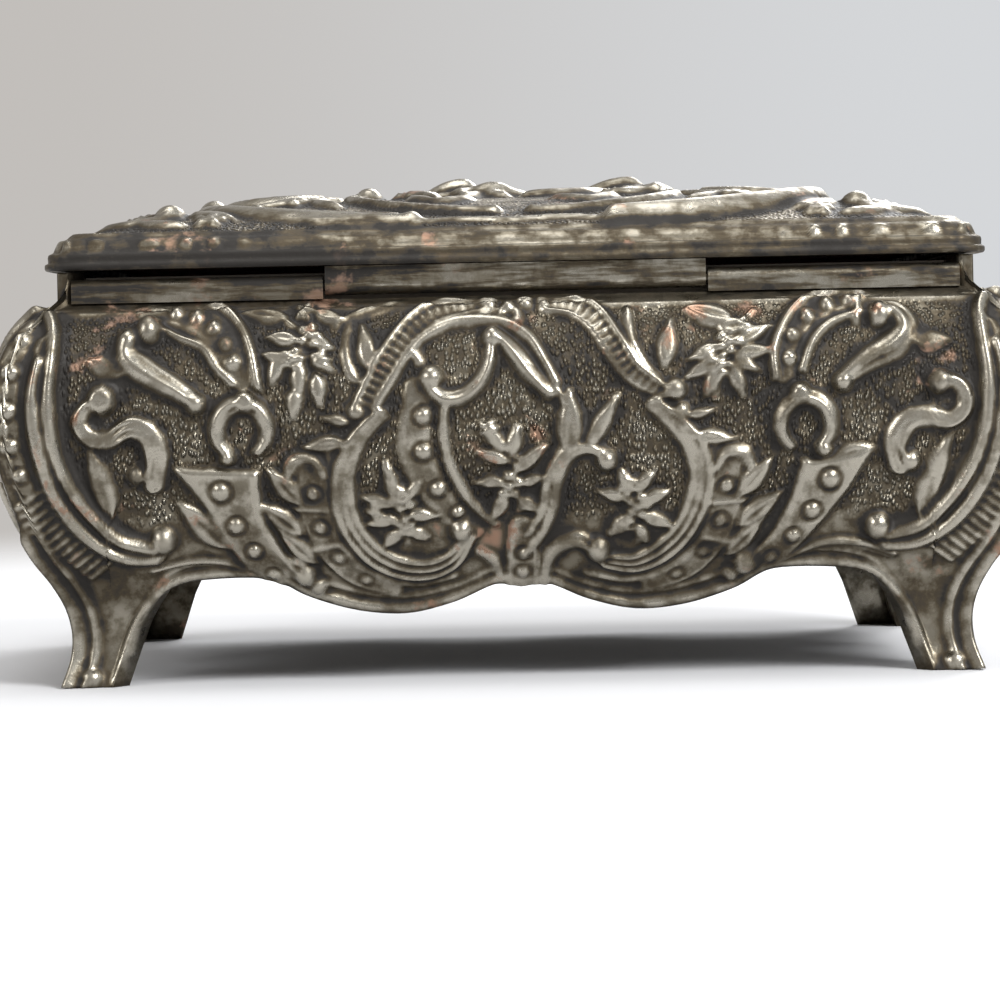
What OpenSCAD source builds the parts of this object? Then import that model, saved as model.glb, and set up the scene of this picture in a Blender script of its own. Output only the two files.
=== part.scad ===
// Footed casket in cast metal, with four swelling walls, a scalloped apron,
// cabriole legs, a domed lid on a three-knuckle hinge and a fabric lining.
// The origin is on the floor under the middle of the box. The front faces -Y.

/* [Body] */
// Length of the box neck, along the hinge
neck_len = 101.2; // [95:0.2:115]
// Depth of the box neck, front to back
neck_dep = 62.6; // [58:0.2:72]
// Height of the neck's top edge above the floor
neck_top = 46.1; // [45.8:0.1:52]
// Height of the neck band that is set in above the shoulder
neck_band = 3.5; // [3.1:0.1:4.2]
// Thickness of the cast walls
wall_t = 1.8; // [1.4:0.1:2.2]
// How far the walls swell out past the neck
belly = 6.6; // [4:0.2:9]
// Height of the knee, where the leg leaves the belly
knee_z = 12; // [11:0.2:14]

/* [Legs and apron] */
// Width of each foot plate, seen on one wall
foot_w = 5; // [4:0.2:6.5]
// How far the leg's waist is drawn in from the neck line
waist_in = 1.45; // [0.8:0.05:2]
// How far the toe is drawn in from the neck line
toe_in = 0.2; // [0:0.05:0.6]
// How far the apron's lobes hang under the apron's straight stretches
lobe_drop = 4; // [2:0.2:5]
// Diameter of the small ball over each toe
toe_ball_d = 1.8; // [1.4:0.1:2.2]

/* [Relief] */
// Height of the flat ground of a scroll over the wall
band_h = 0.5; // [0.3:0.05:0.7]
// Height of a scroll's ridges over the wall
ridge_h = 1.05; // [0.8:0.05:1.3]
// Width of the big corner scroll
corner_scroll_w = 3.2; // [2.6:0.1:3.8]
// Width of the moulding along each corner edge
arris_w = 2; // [1.4:0.1:2.6]
// Width of the ordinary scrolls
scroll_w = 2; // [1.4:0.1:2.6]
// Number of ribs on each knee
knee_ribs = 9; // [6:1:10]
// Diameter of the balls that end the scrolls
ball_d = 2.6; // [2:0.1:3.2]

/* [Lid] */
// How far the lid's rim stands out past the neck
rim_over = 1.7; // [1.2:0.1:2]
// Gap between the neck's top edge and the lid
lid_gap = 0.2; // [0.1:0.05:0.3]
// Height of the lid's upright rim band
rim_h = 1.9; // [1.5:0.1:2.5]
// Radius of the rim's corners, seen from above
rim_r = 4.5; // [3:0.25:6]
// Height of the sloping moulding over the rim
cove_h = 1.8; // [1.2:0.1:2.4]
// How far that moulding leans in
cove_in = 2.2; // [1.4:0.1:3]
// Rise of the lid's dome over the moulding
dome_h = 4.6; // [3:0.2:6]
// Thickness of the lid's metal
lid_t = 1.5; // [1.2:0.1:2]
// Height of the two roses over the dome
rose_h = 2.7; // [1.5:0.1:3.5]
// Diameter of the larger rose
rose_d = 13; // [10:0.5:16]

/* [Hinge] */
// Diameter of the hinge pin
pin_d = 1.2; // [0.8:0.05:1.4]
// Thickness of the hinge's metal round the bore
leaf_t = 0.5; // [0.4:0.05:0.7]
// Width of the post that the neck keeps beyond each end of the hinge
hinge_post = 1.6; // [1:0.1:4]
// Length of the lid's knuckle in the middle
mid_knuckle = 42; // [36:0.5:50]
// Gap between two knuckles
knuckle_gap = 0.25; // [0.15:0.05:0.5]
// Width by which each bore is larger than the pin
pin_clear = 0.04; // [0.02:0.01:0.1]

/* [Lining] */
// Thickness of the bottom plate
plate_t = 1.2; // [0.8:0.1:2]
// Height of the bottom plate's underside
plate_z = 13; // [12.6:0.1:15]
// How far the ledge under the plate stands in from the wall
ledge_in = 2.2; // [1.6:0.1:3]
// Thickness of the lining cards
card_t = 0.8; // [0.6:0.1:1.2]
// Thickness of the velvet on the side cards
velvet_t = 0.7; // [0.5:0.1:1.2]
// Thickness of the pad on the floor
floor_pad_t = 2.6; // [1.5:0.1:4]
// Thickness of the pad in the lid
lid_pad_t = 1.1; // [0.8:0.1:1.5]
// How far the side lining stops under the neck's top edge
lining_drop = 0.6; // [0.4:0.1:1.5]
// Clearance round each piece of the lining
fit = 0.2; // [0.1:0.05:0.3]

/* [Hidden] */
$fn = 32;

half_len = neck_len / 2;
half_dep = neck_dep / 2;
shoulder_z = neck_top - neck_band;
relief_top = shoulder_z - 1.2;
eps = 0.01;
// Room round a wall for the shapes that cut it
room = 2 * belly;

metal = [0.55, 0.52, 0.46];
brass_metal = [0.66, 0.6, 0.46];
card_grey = [0.6, 0.57, 0.5];
velvet_red = [0.45, 0.05, 0.08];

// Curve through points, by cubic pieces that share their tangents
function piece(a, b, c, d, t) =
    0.5 * (2 * b + (c - a) * t + (2 * a - 5 * b + 4 * c - d) * t * t
           + (3 * b - a - 3 * c + d) * t * t * t);
function smooth(pts, n) =
    concat([for (i = [0 : len(pts) - 2]) for (k = [0 : n - 1])
                piece(pts[max(i - 1, 0)], pts[i], pts[i + 1],
                      pts[min(i + 2, len(pts) - 1)], k / n)],
           [pts[len(pts) - 1]]);
function heading(pts, i) =
    let (d = pts[min(i + 1, len(pts) - 1)] - pts[max(i - 1, 0)]) d / norm(d);
function beside(pts, i, w) =
    let (d = heading(pts, i)) pts[i] + w * [-d[1], d[0]];
function flip(pts) = [for (p = pts) [-p[0], p[1]]];

// Upright section of a wall: how far it stands out past the neck, and the height.
// The belly is given as shares of its rise over the knee and of its swell.
belly_rise = shoulder_z - knee_z;
belly_form = [[0.11, 0.40], [0.25, 0.68], [0.41, 0.91], [0.59, 1.0],
              [0.75, 0.92], [0.87, 0.70], [0.95, 0.36], [0.99, 0.10]];
shoulder_step = 0.4;
wall_knots = concat(
    [[-toe_in, 0], [-waist_in * 0.83, knee_z / 4], [-waist_in, knee_z / 2],
     [-waist_in * 0.6, knee_z * 0.75], [belly * 0.08, knee_z]],
    [for (k = belly_form) [belly * k[1], knee_z + belly_rise * k[0]]]);
wall_line = concat(wall_knots, [[0, shoulder_z + shoulder_step], [0, neck_top]]);
wall_last = len(wall_line) - 1;

// The wall's section moved outwards by h, with its ends kept level
function moved(h) =
    [for (i = [0 : wall_last])
        let (p = beside(wall_line, i, -h))
        [p[0], i == 0 ? 0 : i == wall_last ? neck_top : p[1]]];
function turned(pts) = [for (i = [len(pts) - 1 : -1 : 0]) pts[i]];
function stand_out(z) = lookup(z, [for (p = wall_line) [p[1], p[0]]]);
function inner_face(z) = lookup(z, [for (p = moved(-wall_t)) [p[1], p[0]]]);

// Drawings of a wall are made for a panel of these sizes, and then fitted to the wall:
// half its length, the height of its knee, and the rise from the knee to the shoulder
drawn_long = 50.6;
drawn_end = 31.3;
drawn_knee = 12;
drawn_rise = 30.6;
rise_scale = belly_rise / drawn_rise;
function panel_z(z) = knee_z + (z - drawn_knee) * rise_scale;
function on_long(pts) = [for (p = pts) [p[0] * half_len / drawn_long, panel_z(p[1])]];
function on_end(pts) = [for (p = pts) [p[0] * half_dep / drawn_end, panel_z(p[1])]];

// Lower outline of a wall, from the middle to the corner.
// The leg is measured from the corner, the apron by shares of what is left.
leg_edge = [[6.8, 11.2], [4.6, 9.4], [2.4, 6.5], [1, 3], [0.1, 0]];
apron_form = [[0, 0.35], [0.08, 0.3], [0.19, 0.77], [0.33, 1.1],
              [0.48, 0.97], [0.62, 0.52], [0.72, 0.02], [0.9, 0]];
function apron_z(f) = knee_z - lobe_drop * f;
function lower_edge(half) =
    let (k = knee_z / drawn_knee, inner = half - foot_w - leg_edge[0][0] * k)
    smooth(concat([for (a = apron_form) [inner * a[0], apron_z(a[1])]],
                  [for (e = leg_edge) [half - foot_w - e[0] * k, e[1] * k]]), 2);

// A flat band that follows a curve, with narrower ends
module stroke(pts, w, tip = 0.45, shift = 0, n = 2) {
    line = smooth(pts, n);
    last = len(line) - 1;
    wide = [for (i = [0 : last]) w / 2 * (tip + (1 - tip) * sqrt(sin(180 * i / last)))];
    polygon(concat(
        [for (i = [0 : last]) beside(line, i, shift + wide[i])],
        [for (i = [last : -1 : 0]) beside(line, i, shift - wide[i])]));
}

// A drawing in length and height, made a prism that runs through one wall
module through_wall(dep) {
    translate([0, -dep + room, 0])
        rotate([90, 0, 0])
            linear_extrude(2 * room) children();
}

// A section in depth and height, run along the wall
module along_wall(half, dep, section) {
    rotate([90, 0, -90])
        linear_extrude(2 * (half + room), center = true)
            polygon([for (p = section) [dep + p[0], p[1]]]);
}

// The wedge that the mitred ends leave to one wall
module mitre(half, dep) {
    linear_extrude(neck_top)
        polygon([[-half + room, -dep + room], [half - room, -dep + room],
                 [half + room, -dep - room], [-half - room, -dep - room]]);
}

// Where the relief of height h stands on a wall
relief_root = 0.5;
module relief_skin(half, dep, h) {
    along_wall(half, dep, concat(moved(h), turned(moved(-relief_root))));
}

// Corner scroll, measured from the neck's corner
corner_line = [[0, 41.4], [0.9, 37], [1.3, 31], [0.2, 25.3],
               [-2.6, 20], [-6.4, 16.2], [-11.3, 15.6]];
function at_corner(half) =
    [for (p = corner_line) [half + p[0] * rise_scale, panel_z(p[1])]];

// Ribs across the knee, between the corner scroll and the corner edge
module knee_rib_bars(half) {
    first = [0.6, 22.6];
    end = [-6.2, 14.2];
    rib_w = 0.5;
    rib_len = 4.4;
    shorter = 1.4;
    step = 1 / (knee_ribs - 1);
    for (k = [0 : knee_ribs - 1]) {
        place = first + (end - first) * k * step;
        translate([half + place[0] * rise_scale, panel_z(place[1])])
            rotate(-38)
                translate([0.9, -rib_w / 2])
                    square([(rib_len - shorter * k * step) * rise_scale, rib_w]);
    }
}

// The moulding that follows the leg and the apron
edge_band_w = 1.6;
module edge_band(half) {
    stroke(lower_edge(half), edge_band_w, 1, edge_band_w * 0.3, 1);
}

// The moulding along the corner edge, cut by the mitre
module arris_band(half) {
    side = [for (p = wall_line) if (p[1] < relief_top) [half + p[0], p[1]]];
    polygon(concat([for (p = side) p - [arris_w, 0]],
                   turned([for (p = side) p + [room / 2, 0]])));
}

// Scrolls of the long walls, in length and height, seen from outside
long_scrolls = [
    [[-16.1, 31.4], [-12.7, 37.3], [-9.4, 40.4], [-5, 41.2]],
    [[5, 41], [7.6, 40.2], [10.1, 36.9], [12.4, 33.8], [14.9, 31.6]],
    [[-16, 28.5], [-19, 23.8], [-19.2, 19], [-17.4, 15], [-14, 12.6], [-10.6, 12.2], [-7.6, 13]],
    [[15.2, 29.7], [18.4, 26.8], [19.6, 22.5], [18.4, 17.6], [15.8, 14.6], [12.2, 13.3], [8.8, 14]],
    [[-8.5, 32.1], [-5.2, 32.3], [-3, 34.6], [-2.2, 37], [0.3, 36.3], [2.9, 32.6], [4.9, 29.9]],
    [[-8.3, 31], [-8.2, 26.9], [-6.2, 21.8], [-2.6, 17.8]],
    [[9.6, 24.6], [7.4, 25.8], [5, 24.8], [3, 21.6], [1.7, 18.5], [0.2, 14.6]],
    [[4.9, 29.9], [6.6, 28.2], [7.3, 26.4]],
    [[-38.8, 41.2], [-33, 41], [-29.8, 38], [-28.4, 33.8]],
    [[-41.8, 37.6], [-40.7, 35.3], [-37.8, 33.2], [-34.9, 31.5]],
    [[-47.2, 30], [-45.4, 27.8], [-42.4, 28.2], [-39.8, 27.2], [-39.2, 24.8], [-40.4, 23.2]],
    [[28.6, 33.2], [28.6, 36.6], [30.5, 39.6], [34.2, 41.2], [37.7, 41.2]],
    [[41.9, 39], [41.8, 36.8], [39.4, 34.8], [35.9, 33.4]],
    [[48.2, 30.6], [47.2, 28.4], [44, 28], [41.3, 26.9], [40.6, 24.6], [41.4, 23]]
];
// Each of these straps narrows from its first point to its last
long_straps = [
    [[-34.4, 25.6], [-31.6, 20.4], [-28.8, 15.2], [-24.8, 12.8]],
    [[36, 25.6], [33, 20], [29.5, 15.4], [25.2, 12.9]],
    [[-10.3, 30], [-10.1, 25.5], [-8.7, 21.7], [-6.4, 17.4]]
];
long_rings = [[-30.2, 28], [31.3, 27.9]];
long_balls = [[-39.1, 16.6], [39.9, 15.4], [-40, 39], [-41.9, 38.2], [-34.6, 31.2], [-45, 31.6],
              [-41.6, 23.6], [-30.1, 31.2], [-9.6, 33.3], [-6.4, 14.8], [9, 14.6], [-23.9, 12.4],
              [24.4, 12.6], [41.6, 39.4], [35.4, 32.4], [46.4, 32], [42.4, 23.4], [9.8, 24.2]];
long_studs = [[-32.8, 22.4], [-30.4, 18], [33.8, 21.4], [31.2, 17.6], [-10.2, 28], [-9.4, 23.6]];
long_leaves = [[[-44.7, 19.4], [-46, 22.8], [-46.6, 26.6]],
               [[43.9, 18], [46, 22], [46.8, 26.2]]];

// Scrolls of the end walls, one half, seen from outside
end_scrolls = [
    [[2.6, 41], [6, 40.2], [8.6, 36.9], [10, 33.4]],
    [[1.2, 35.6], [4, 33.8], [5.6, 30.2], [5.2, 25.6], [3, 21.4], [0.9, 17.6]],
    [[6.4, 31.6], [9.8, 28], [10.6, 23], [9.4, 18], [6.4, 14.6], [3.4, 13.6]],
    [[20.2, 41], [15.4, 41], [12.6, 38], [11.6, 34.2]],
    [[21.8, 38], [21, 35.4], [18.4, 33.4], [15.6, 31.8]],
    [[27.6, 30], [26, 27.8], [23.2, 28], [20.6, 27], [20, 24.8], [21, 23.2]]
];
end_straps = [[[17.2, 24.6], [15.4, 20.2], [12.9, 16.2], [9.6, 13.4]]];
end_studs = [[16.6, 21.8], [14.8, 18.4], [12.4, 15.4]];
end_leaves = [[[24.2, 18], [26.3, 21.6], [27, 25.6]]];
end_rings = [[14.6, 27.6]];
end_balls = [[20.2, 16.4], [21, 38.8], [15.2, 31.2], [25.6, 31.8], [22, 23.4], [6, 32.2],
             [3, 14.4], [8.6, 12.8], [1.4, 36.4]];

ring_d = 6.4;
ring_hole_d = 3;

// A drawing of the relief that is used on both sides of the middle
module both_sides() {
    children();
    mirror([1, 0]) children();
}

// Ends a drawing below the way of the open lid's rim
module under_rim(half) {
    intersection() {
        children();
        translate([-half - room, 0]) square([2 * (half + room), relief_top]);
    }
}

// A flat strap that narrows along its line
strap_start = 2.8;
strap_end = 0.9;
module strap(pts) {
    line = smooth(pts, 2);
    last = len(line) - 1;
    wide = [for (i = [0 : last])
        scroll_w / 2 * (strap_start + (strap_end - strap_start) * i / last)];
    polygon(concat(
        [for (i = [0 : last]) beside(line, i, wide[i])],
        [for (i = [last : -1 : 0]) beside(line, i, -wide[i])]));
}

// Drawings of one wall, in this order: scrolls, straps, studs, leaves, rings, balls
module wall_bands(half, drawn) {
    both_sides() {
        arris_band(half);
        edge_band(half);
        stroke(at_corner(half), corner_scroll_w, 0.6);
    }
    for (s = drawn[0]) stroke(s, scroll_w);
    for (s = drawn[1]) strap(s);
    for (r = drawn[4]) translate(r) difference() {
        circle(d = ring_d);
        circle(d = ring_hole_d);
    }
}

module wall_ridges(half, drawn) {
    ridge_w = scroll_w * 0.5;
    both_sides() {
        knee_rib_bars(half);
        for (s = [-1, 1])
            stroke(at_corner(half), corner_scroll_w * 0.32, 0.7, s * corner_scroll_w * 0.28);
    }
    for (s = drawn[0]) stroke(s, ridge_w);
    for (s = drawn[3]) stroke(s, scroll_w, 0.1);
}

ledge_t = 0.8;
ledge_root = 0.6;
ball_sink = 0.3;
stud_d = ball_d * 0.75;

// Round bosses on the face of a wall
module bosses(dep, spots, d) {
    for (b = spots)
        translate([b[0], -dep - stand_out(b[1]) - ball_sink, b[1]]) sphere(d = d, $fn = 16);
}

// One cast wall, facing -Y, with its two half legs
module wall(half, dep, drawn) {
    low = lower_edge(half);
    intersection() {
        mitre(half, dep);
        union() {
            intersection() {
                along_wall(half, dep, concat(moved(0), turned(moved(-wall_t))));
                through_wall(dep)
                    polygon(concat(low, [[half + room, 0], [half + room, neck_top],
                                         [-half - room, neck_top], [-half - room, 0]],
                                   turned(flip(low))));
            }
            along_wall(half, dep, [[-wall_t - ledge_in, plate_z],
                                   [-wall_t - ledge_in, plate_z - ledge_t],
                                   [-wall_t + ledge_root, plate_z - ledge_t],
                                   [-wall_t + 1.5 * ledge_root, plate_z]]);
            intersection() {
                relief_skin(half, dep, band_h);
                through_wall(dep) under_rim(half) wall_bands(half, drawn);
            }
            intersection() {
                relief_skin(half, dep, ridge_h);
                through_wall(dep) under_rim(half) wall_ridges(half, drawn);
            }
            bosses(dep, drawn[5], ball_d);
            bosses(dep, drawn[2], stud_d);
            for (s = [-1, 1])
                translate([s * (half - foot_w / 2), -dep + toe_in, toe_ball_d * 0.55])
                    sphere(d = toe_ball_d, $fn = 16);
        }
    }
}

module long_wall() {
    wall(half_len, half_dep, [
        [for (s = long_scrolls) on_long(s)],
        [for (s = long_straps) on_long(s)],
        on_long(long_studs),
        [for (s = long_leaves) on_long(s)],
        on_long(long_rings),
        on_long(long_balls)
    ]);
}

// Both halves of a list of lines, or of spots, that is drawn for one half of an end wall
function both_lines(list) =
    let (half = [for (s = list) on_end(s)]) concat(half, [for (s = half) flip(s)]);
function both_spots(list) = let (half = on_end(list)) concat(half, flip(half));

module end_wall() {
    wall(half_dep, half_len, [
        both_lines(end_scrolls), both_lines(end_straps), both_spots(end_studs),
        both_lines(end_leaves), both_spots(end_rings), both_spots(end_balls)
    ]);
}

module front_wall() {
    color(metal) long_wall();
}

module back_wall() {
    color(metal) difference() {
        rotate(180) long_wall();
        translate([-hinge_len / 2 - fit, half_dep - wall_t - 1, shoulder_z])
            cube([hinge_len + 2 * fit, room, neck_band + 1]);
    }
}

module left_wall() {
    color(metal) rotate(-90) end_wall();
}

module right_wall() {
    color(metal) rotate(90) end_wall();
}

// A block with upright sides, centred, from its full sizes
module slab(len, dep, z, t) {
    translate([-len / 2, -dep / 2, z]) cube([len, dep, t]);
}

module bottom_plate() {
    out = inner_face(plate_z) - fit / 2;
    color(brass_metal) slab(neck_len + 2 * out, neck_dep + 2 * out, plate_z, plate_t);
}

// Hinge: the pin's axis, the knuckles and their leaves
hinge_len = neck_len - 2 * hinge_post;
barrel_r = pin_d / 2 + leaf_t + pin_clear / 2;
axis_in = 0.3;
axis_y = half_dep - axis_in;
axis_z = shoulder_z + shoulder_step + barrel_r;
rim_z = neck_top + lid_gap;
web_y = axis_y + barrel_r - leaf_t;
flange_y = half_dep - wall_t + fit;
seat_gap = 0.1;

module barrel(x, len) {
    translate([x, axis_y, axis_z]) rotate([0, 90, 0]) cylinder(r = barrel_r, h = len);
}

module bore(x, len, clear) {
    translate([x - 1, axis_y, axis_z])
        rotate([0, 90, 0]) cylinder(d = pin_d + clear, h = len + 2);
}

module body_leaf(x, len) {
    difference() {
        union() {
            barrel(x, len);
            translate([x, web_y, shoulder_z]) cube([len, leaf_t, axis_z - shoulder_z]);
            translate([x, flange_y, shoulder_z])
                cube([len, web_y + leaf_t - flange_y, leaf_t]);
        }
        bore(x, len, pin_clear);
    }
}

side_knuckle = (hinge_len - mid_knuckle) / 2 - knuckle_gap;

module hinge_leaf_left() {
    color(metal) body_leaf(-hinge_len / 2, side_knuckle);
}

module hinge_leaf_right() {
    color(metal) body_leaf(hinge_len / 2 - side_knuckle, side_knuckle);
}

module hinge_leaf_lid() {
    x = -mid_knuckle / 2;
    color(metal) difference() {
        union() {
            barrel(x, mid_knuckle);
            translate([x, web_y, axis_z]) cube([mid_knuckle, leaf_t, rim_z - seat_gap - axis_z]);
            translate([x, flange_y, rim_z - leaf_t - seat_gap])
                cube([mid_knuckle, web_y + leaf_t - flange_y, leaf_t]);
        }
        bore(x, mid_knuckle, pin_clear + 0.02);
    }
}

module hinge_pin() {
    color(brass_metal) translate([-hinge_len / 2, axis_y, axis_z])
        rotate([0, 90, 0]) cylinder(d = pin_d, h = hinge_len);
}

// Lining: cards stand on the bottom plate inside the neck, velvet lies on them
inner_len = neck_len - 2 * wall_t;
inner_dep = neck_dep - 2 * wall_t;
card_z = plate_z + plate_t;
card_h = neck_top - lining_drop - card_z;
card_len = inner_len - 2 * fit;
card_dep = inner_dep - 2 * fit;
between_len = card_len - 2 * card_t;
between_dep = card_dep - 2 * card_t;
velvet_gap = 0.15;

// Cards and velvet of the front, moved to another side by the caller
module long_card() {
    translate([-between_len / 2 + velvet_gap, -card_dep / 2, card_z])
        cube([between_len - 2 * velvet_gap, card_t, card_h]);
}

module long_velvet() {
    translate([-between_len / 2 + velvet_t + velvet_gap, -between_dep / 2, card_z + card_t])
        cube([between_len - 2 * velvet_t - 2 * velvet_gap, velvet_t, card_h - card_t]);
}

module end_card() {
    translate([-card_len / 2, -card_dep / 2, card_z]) cube([card_t, card_dep, card_h]);
}

module end_velvet() {
    translate([-between_len / 2, -between_dep / 2 + velvet_gap, card_z + card_t])
        cube([velvet_t, between_dep - 2 * velvet_gap, card_h - card_t]);
}

module front_lining_card() {
    color(card_grey) long_card();
}

module back_lining_card() {
    color(card_grey) rotate(180) long_card();
}

module left_lining_card() {
    color(card_grey) end_card();
}

module right_lining_card() {
    color(card_grey) rotate(180) end_card();
}

module front_lining_velvet() {
    color(velvet_red) long_velvet();
}

module back_lining_velvet() {
    color(velvet_red) rotate(180) long_velvet();
}

module left_lining_velvet() {
    color(velvet_red) end_velvet();
}

module right_lining_velvet() {
    color(velvet_red) rotate(180) end_velvet();
}

module floor_card() {
    color(card_grey)
        slab(between_len - 2 * fit, between_dep - 2 * fit, card_z, card_t);
}

// A cushion with a crowned top: its sides draw in over the last part of its height
module cushion(len, dep, z, t, up) {
    crown = [[0, 0], [0, 0.45], [0.4, 0.72], [1.4, 0.9], [4, 1]];
    side = [for (c = crown) [c[0], c[1] * t]];
    module run(long, across) {
        rotate([90, 0, 90]) linear_extrude(long, center = true)
            polygon(concat([for (p = side) [-across / 2 + p[0], p[1]]],
                           turned([for (p = side) [across / 2 - p[0], p[1]]])));
    }
    translate([0, 0, z]) mirror([0, 0, up ? 0 : 1]) intersection() {
        run(len, dep);
        rotate(90) run(dep, len);
    }
}

module floor_pad() {
    inset = velvet_t + 2 * fit;
    color(velvet_red)
        cushion(between_len - 2 * inset, between_dep - 2 * inset,
                card_z + card_t, floor_pad_t, true);
}

// Lid
rim_len = neck_len + 2 * rim_over;
rim_dep = neck_dep + 2 * rim_over;
cove_z = rim_z + rim_h;
dome_z = cove_z + cove_h;
dome_len = rim_len - 2 * cove_in;
dome_dep = rim_dep - 2 * cove_in;
ledge_z = rim_z + lid_pad_t / 2 + card_t + fit;
recess_in = 0.5;
recess_len = inner_len - 2 * recess_in;
recess_dep = inner_dep - 2 * recess_in;
recess_r = 0.5;
lid_ledge_w = 1.5;
dome_power = 2.6;
lip_h = rim_h * 0.4;
lip_out = 0.3;

module round_plate(len, dep, r, t) {
    linear_extrude(t) union() {
        square([len - 2 * r, dep], center = true);
        square([len, dep - 2 * r], center = true);
        for (x = [-1, 1]) for (y = [-1, 1])
            translate([x * (len / 2 - r), y * (dep / 2 - r)]) circle(r);
    }
}

// Upright section of the dome over half the span a, raised by h
function dome_line(a, h) =
    [for (k = [-8 : 8]) let (s = k / 8) [a * s, dome_h * (1 - pow(abs(s), dome_power)) + h]];

module vault(len, dep, z, h) {
    foot = -dome_h - lid_t;
    module run(long, across) {
        rotate([90, 0, 90]) linear_extrude(long, center = true)
            polygon(concat([[-across / 2, foot]], dome_line(across / 2, h), [[across / 2, foot]]));
    }
    translate([0, 0, z]) intersection() {
        run(len, dep);
        rotate(90) run(dep, len);
    }
}

// Drawings of the lid are made for a dome of this length and depth, and then fitted to it
drawn_dome = [100.2, 61.6];
function on_lid(pts) =
    [for (p = pts) [p[0] * dome_len / drawn_dome[0], p[1] * dome_dep / drawn_dome[1]]];

// Scrolls of the lid, one quarter, seen from above
lid_scrolls = [
    [[12, 28.2], [20.4, 27], [28.6, 24], [34.2, 19], [35, 14.2]],
    [[2.4, 24], [8.6, 23.2], [14.6, 19.8], [18, 14.6], [17.2, 10.6]],
    [[45.2, 4], [45.4, 11], [42.8, 17.4], [39.4, 21.6]],
    [[22.4, 8.4], [27.4, 12], [32.4, 11], [33.8, 6.4]],
    [[20.6, 3], [24.6, 5.4], [28.8, 4.2]]
];
lid_leaves = [[[21, 15], [24.4, 18.6], [30, 19.6]], [[38, 10.4], [41, 14], [41.6, 19]],
              [[38.6, 24.6], [43, 26.4], [46.8, 24.6]]];
// Leaves round the two roses
lid_sprays = [[[1, -4.4], [-3, -8], [-9, -9.4]], [[9, -4.4], [13.4, -7.4], [15.6, -12.6]],
              [[-12, 5.2], [-7.4, 9], [-1, 10]], [[8.8, 6], [11, 10.4], [8.6, 15.4]],
              [[-20.6, -5], [-22.6, -9.6], [-19.4, -14.4]], [[-19, 5], [-16.4, 9.6], [-11, 12.4]],
              [[-5.6, 3.4], [-4.4, 0], [-6.2, -3.6]], [[-9.4, -8], [-12, -13], [-7.6, -17.6]]];
lid_balls = [[16.8, 10.2], [34.8, 13.4], [33.8, 5.8], [29.2, 4], [12, 27.8], [39, 22], [45, 3.4]];
rose_spots = [[5, 1.2], [-16, -0.6]];
rose_sizes = [1, 0.86];
lid_band_h = 0.7;
lid_ridge_h = 1.4;

module four_ways() {
    for (x = [0, 1]) for (y = [0, 1])
        mirror([x, 0]) mirror([0, y]) children();
}

module lid_relief(h) {
    intersection() {
        vault(dome_len, dome_dep, dome_z, h);
        translate([0, 0, cove_z]) linear_extrude(2 * dome_h + cove_h) children();
    }
}

// A rose: a low mound with five petals round a button
module rose(d) {
    top = rose_h;
    cylinder(d = d * 0.8, h = top * 0.4);
    for (k = [0 : 4]) rotate(72 * k)
        translate([d * 0.27, 0, top * 0.1]) sphere(d = d * 0.42, $fn = 16);
    translate([0, 0, top - d * 0.13]) sphere(d = d * 0.26, $fn = 16);
}

function dome_fall(x, len) = pow(abs(2 * x / len), dome_power);
function dome_top(p) =
    dome_z + dome_h * (1 - max(dome_fall(p[0], dome_len), dome_fall(p[1], dome_dep)));

module lid_shell() {
    inside_len = recess_len - 2 * lid_ledge_w;
    inside_dep = recess_dep - 2 * lid_ledge_w;
    spots = on_lid(rose_spots);
    color(metal) difference() {
        union() {
            translate([0, 0, rim_z]) round_plate(rim_len, rim_dep, rim_r, lip_h);
            translate([0, 0, rim_z])
                round_plate(rim_len - 2 * lip_out, rim_dep - 2 * lip_out, rim_r - lip_out, rim_h);
            hull() {
                translate([0, 0, cove_z - eps])
                    round_plate(rim_len - 4 * lip_out, rim_dep - 4 * lip_out,
                                rim_r - 2 * lip_out, eps);
                translate([0, 0, dome_z - eps])
                    round_plate(dome_len, dome_dep, rim_r - cove_in / 2, eps);
            }
            intersection() {
                vault(dome_len, dome_dep, dome_z, 0);
                translate([0, 0, cove_z])
                    round_plate(dome_len, dome_dep, rim_r - cove_in / 2, cove_h + 2 * dome_h);
            }
            lid_relief(lid_band_h) four_ways()
                for (s = lid_scrolls) stroke(on_lid(s), scroll_w * 1.3);
            lid_relief(lid_ridge_h) {
                four_ways() {
                    for (s = lid_scrolls) stroke(on_lid(s), scroll_w * 0.6);
                    for (s = lid_leaves) stroke(on_lid(s), scroll_w * 1.6, 0.2);
                }
                for (s = lid_sprays) stroke(on_lid(s), scroll_w * 1.5, 0.2);
            }
            four_ways() for (b = on_lid(lid_balls))
                translate([b[0], b[1], dome_top(b) + ball_d * 0.2]) sphere(d = ball_d, $fn = 16);
            for (k = [0 : len(spots) - 1])
                translate([spots[k][0], spots[k][1], dome_top(spots[k]) - 0.2])
                    rose(rose_d * rose_sizes[k]);
        }
        translate([0, 0, rim_z - 1])
            round_plate(recess_len, recess_dep, recess_r, ledge_z - rim_z + 1);
        intersection() {
            translate([0, 0, rim_z])
                round_plate(inside_len, inside_dep, recess_r, rim_h + cove_h + dome_h);
            vault(dome_len, dome_dep, dome_z, -lid_t);
        }
    }
}

module lid_card() {
    color(card_grey)
        slab(recess_len - 2 * fit, recess_dep - 2 * fit, ledge_z - card_t, card_t);
}

module lid_pad() {
    color(velvet_red)
        cushion(recess_len - 3 * fit, recess_dep - 3 * fit, ledge_z - card_t, lid_pad_t, false);
}

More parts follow.
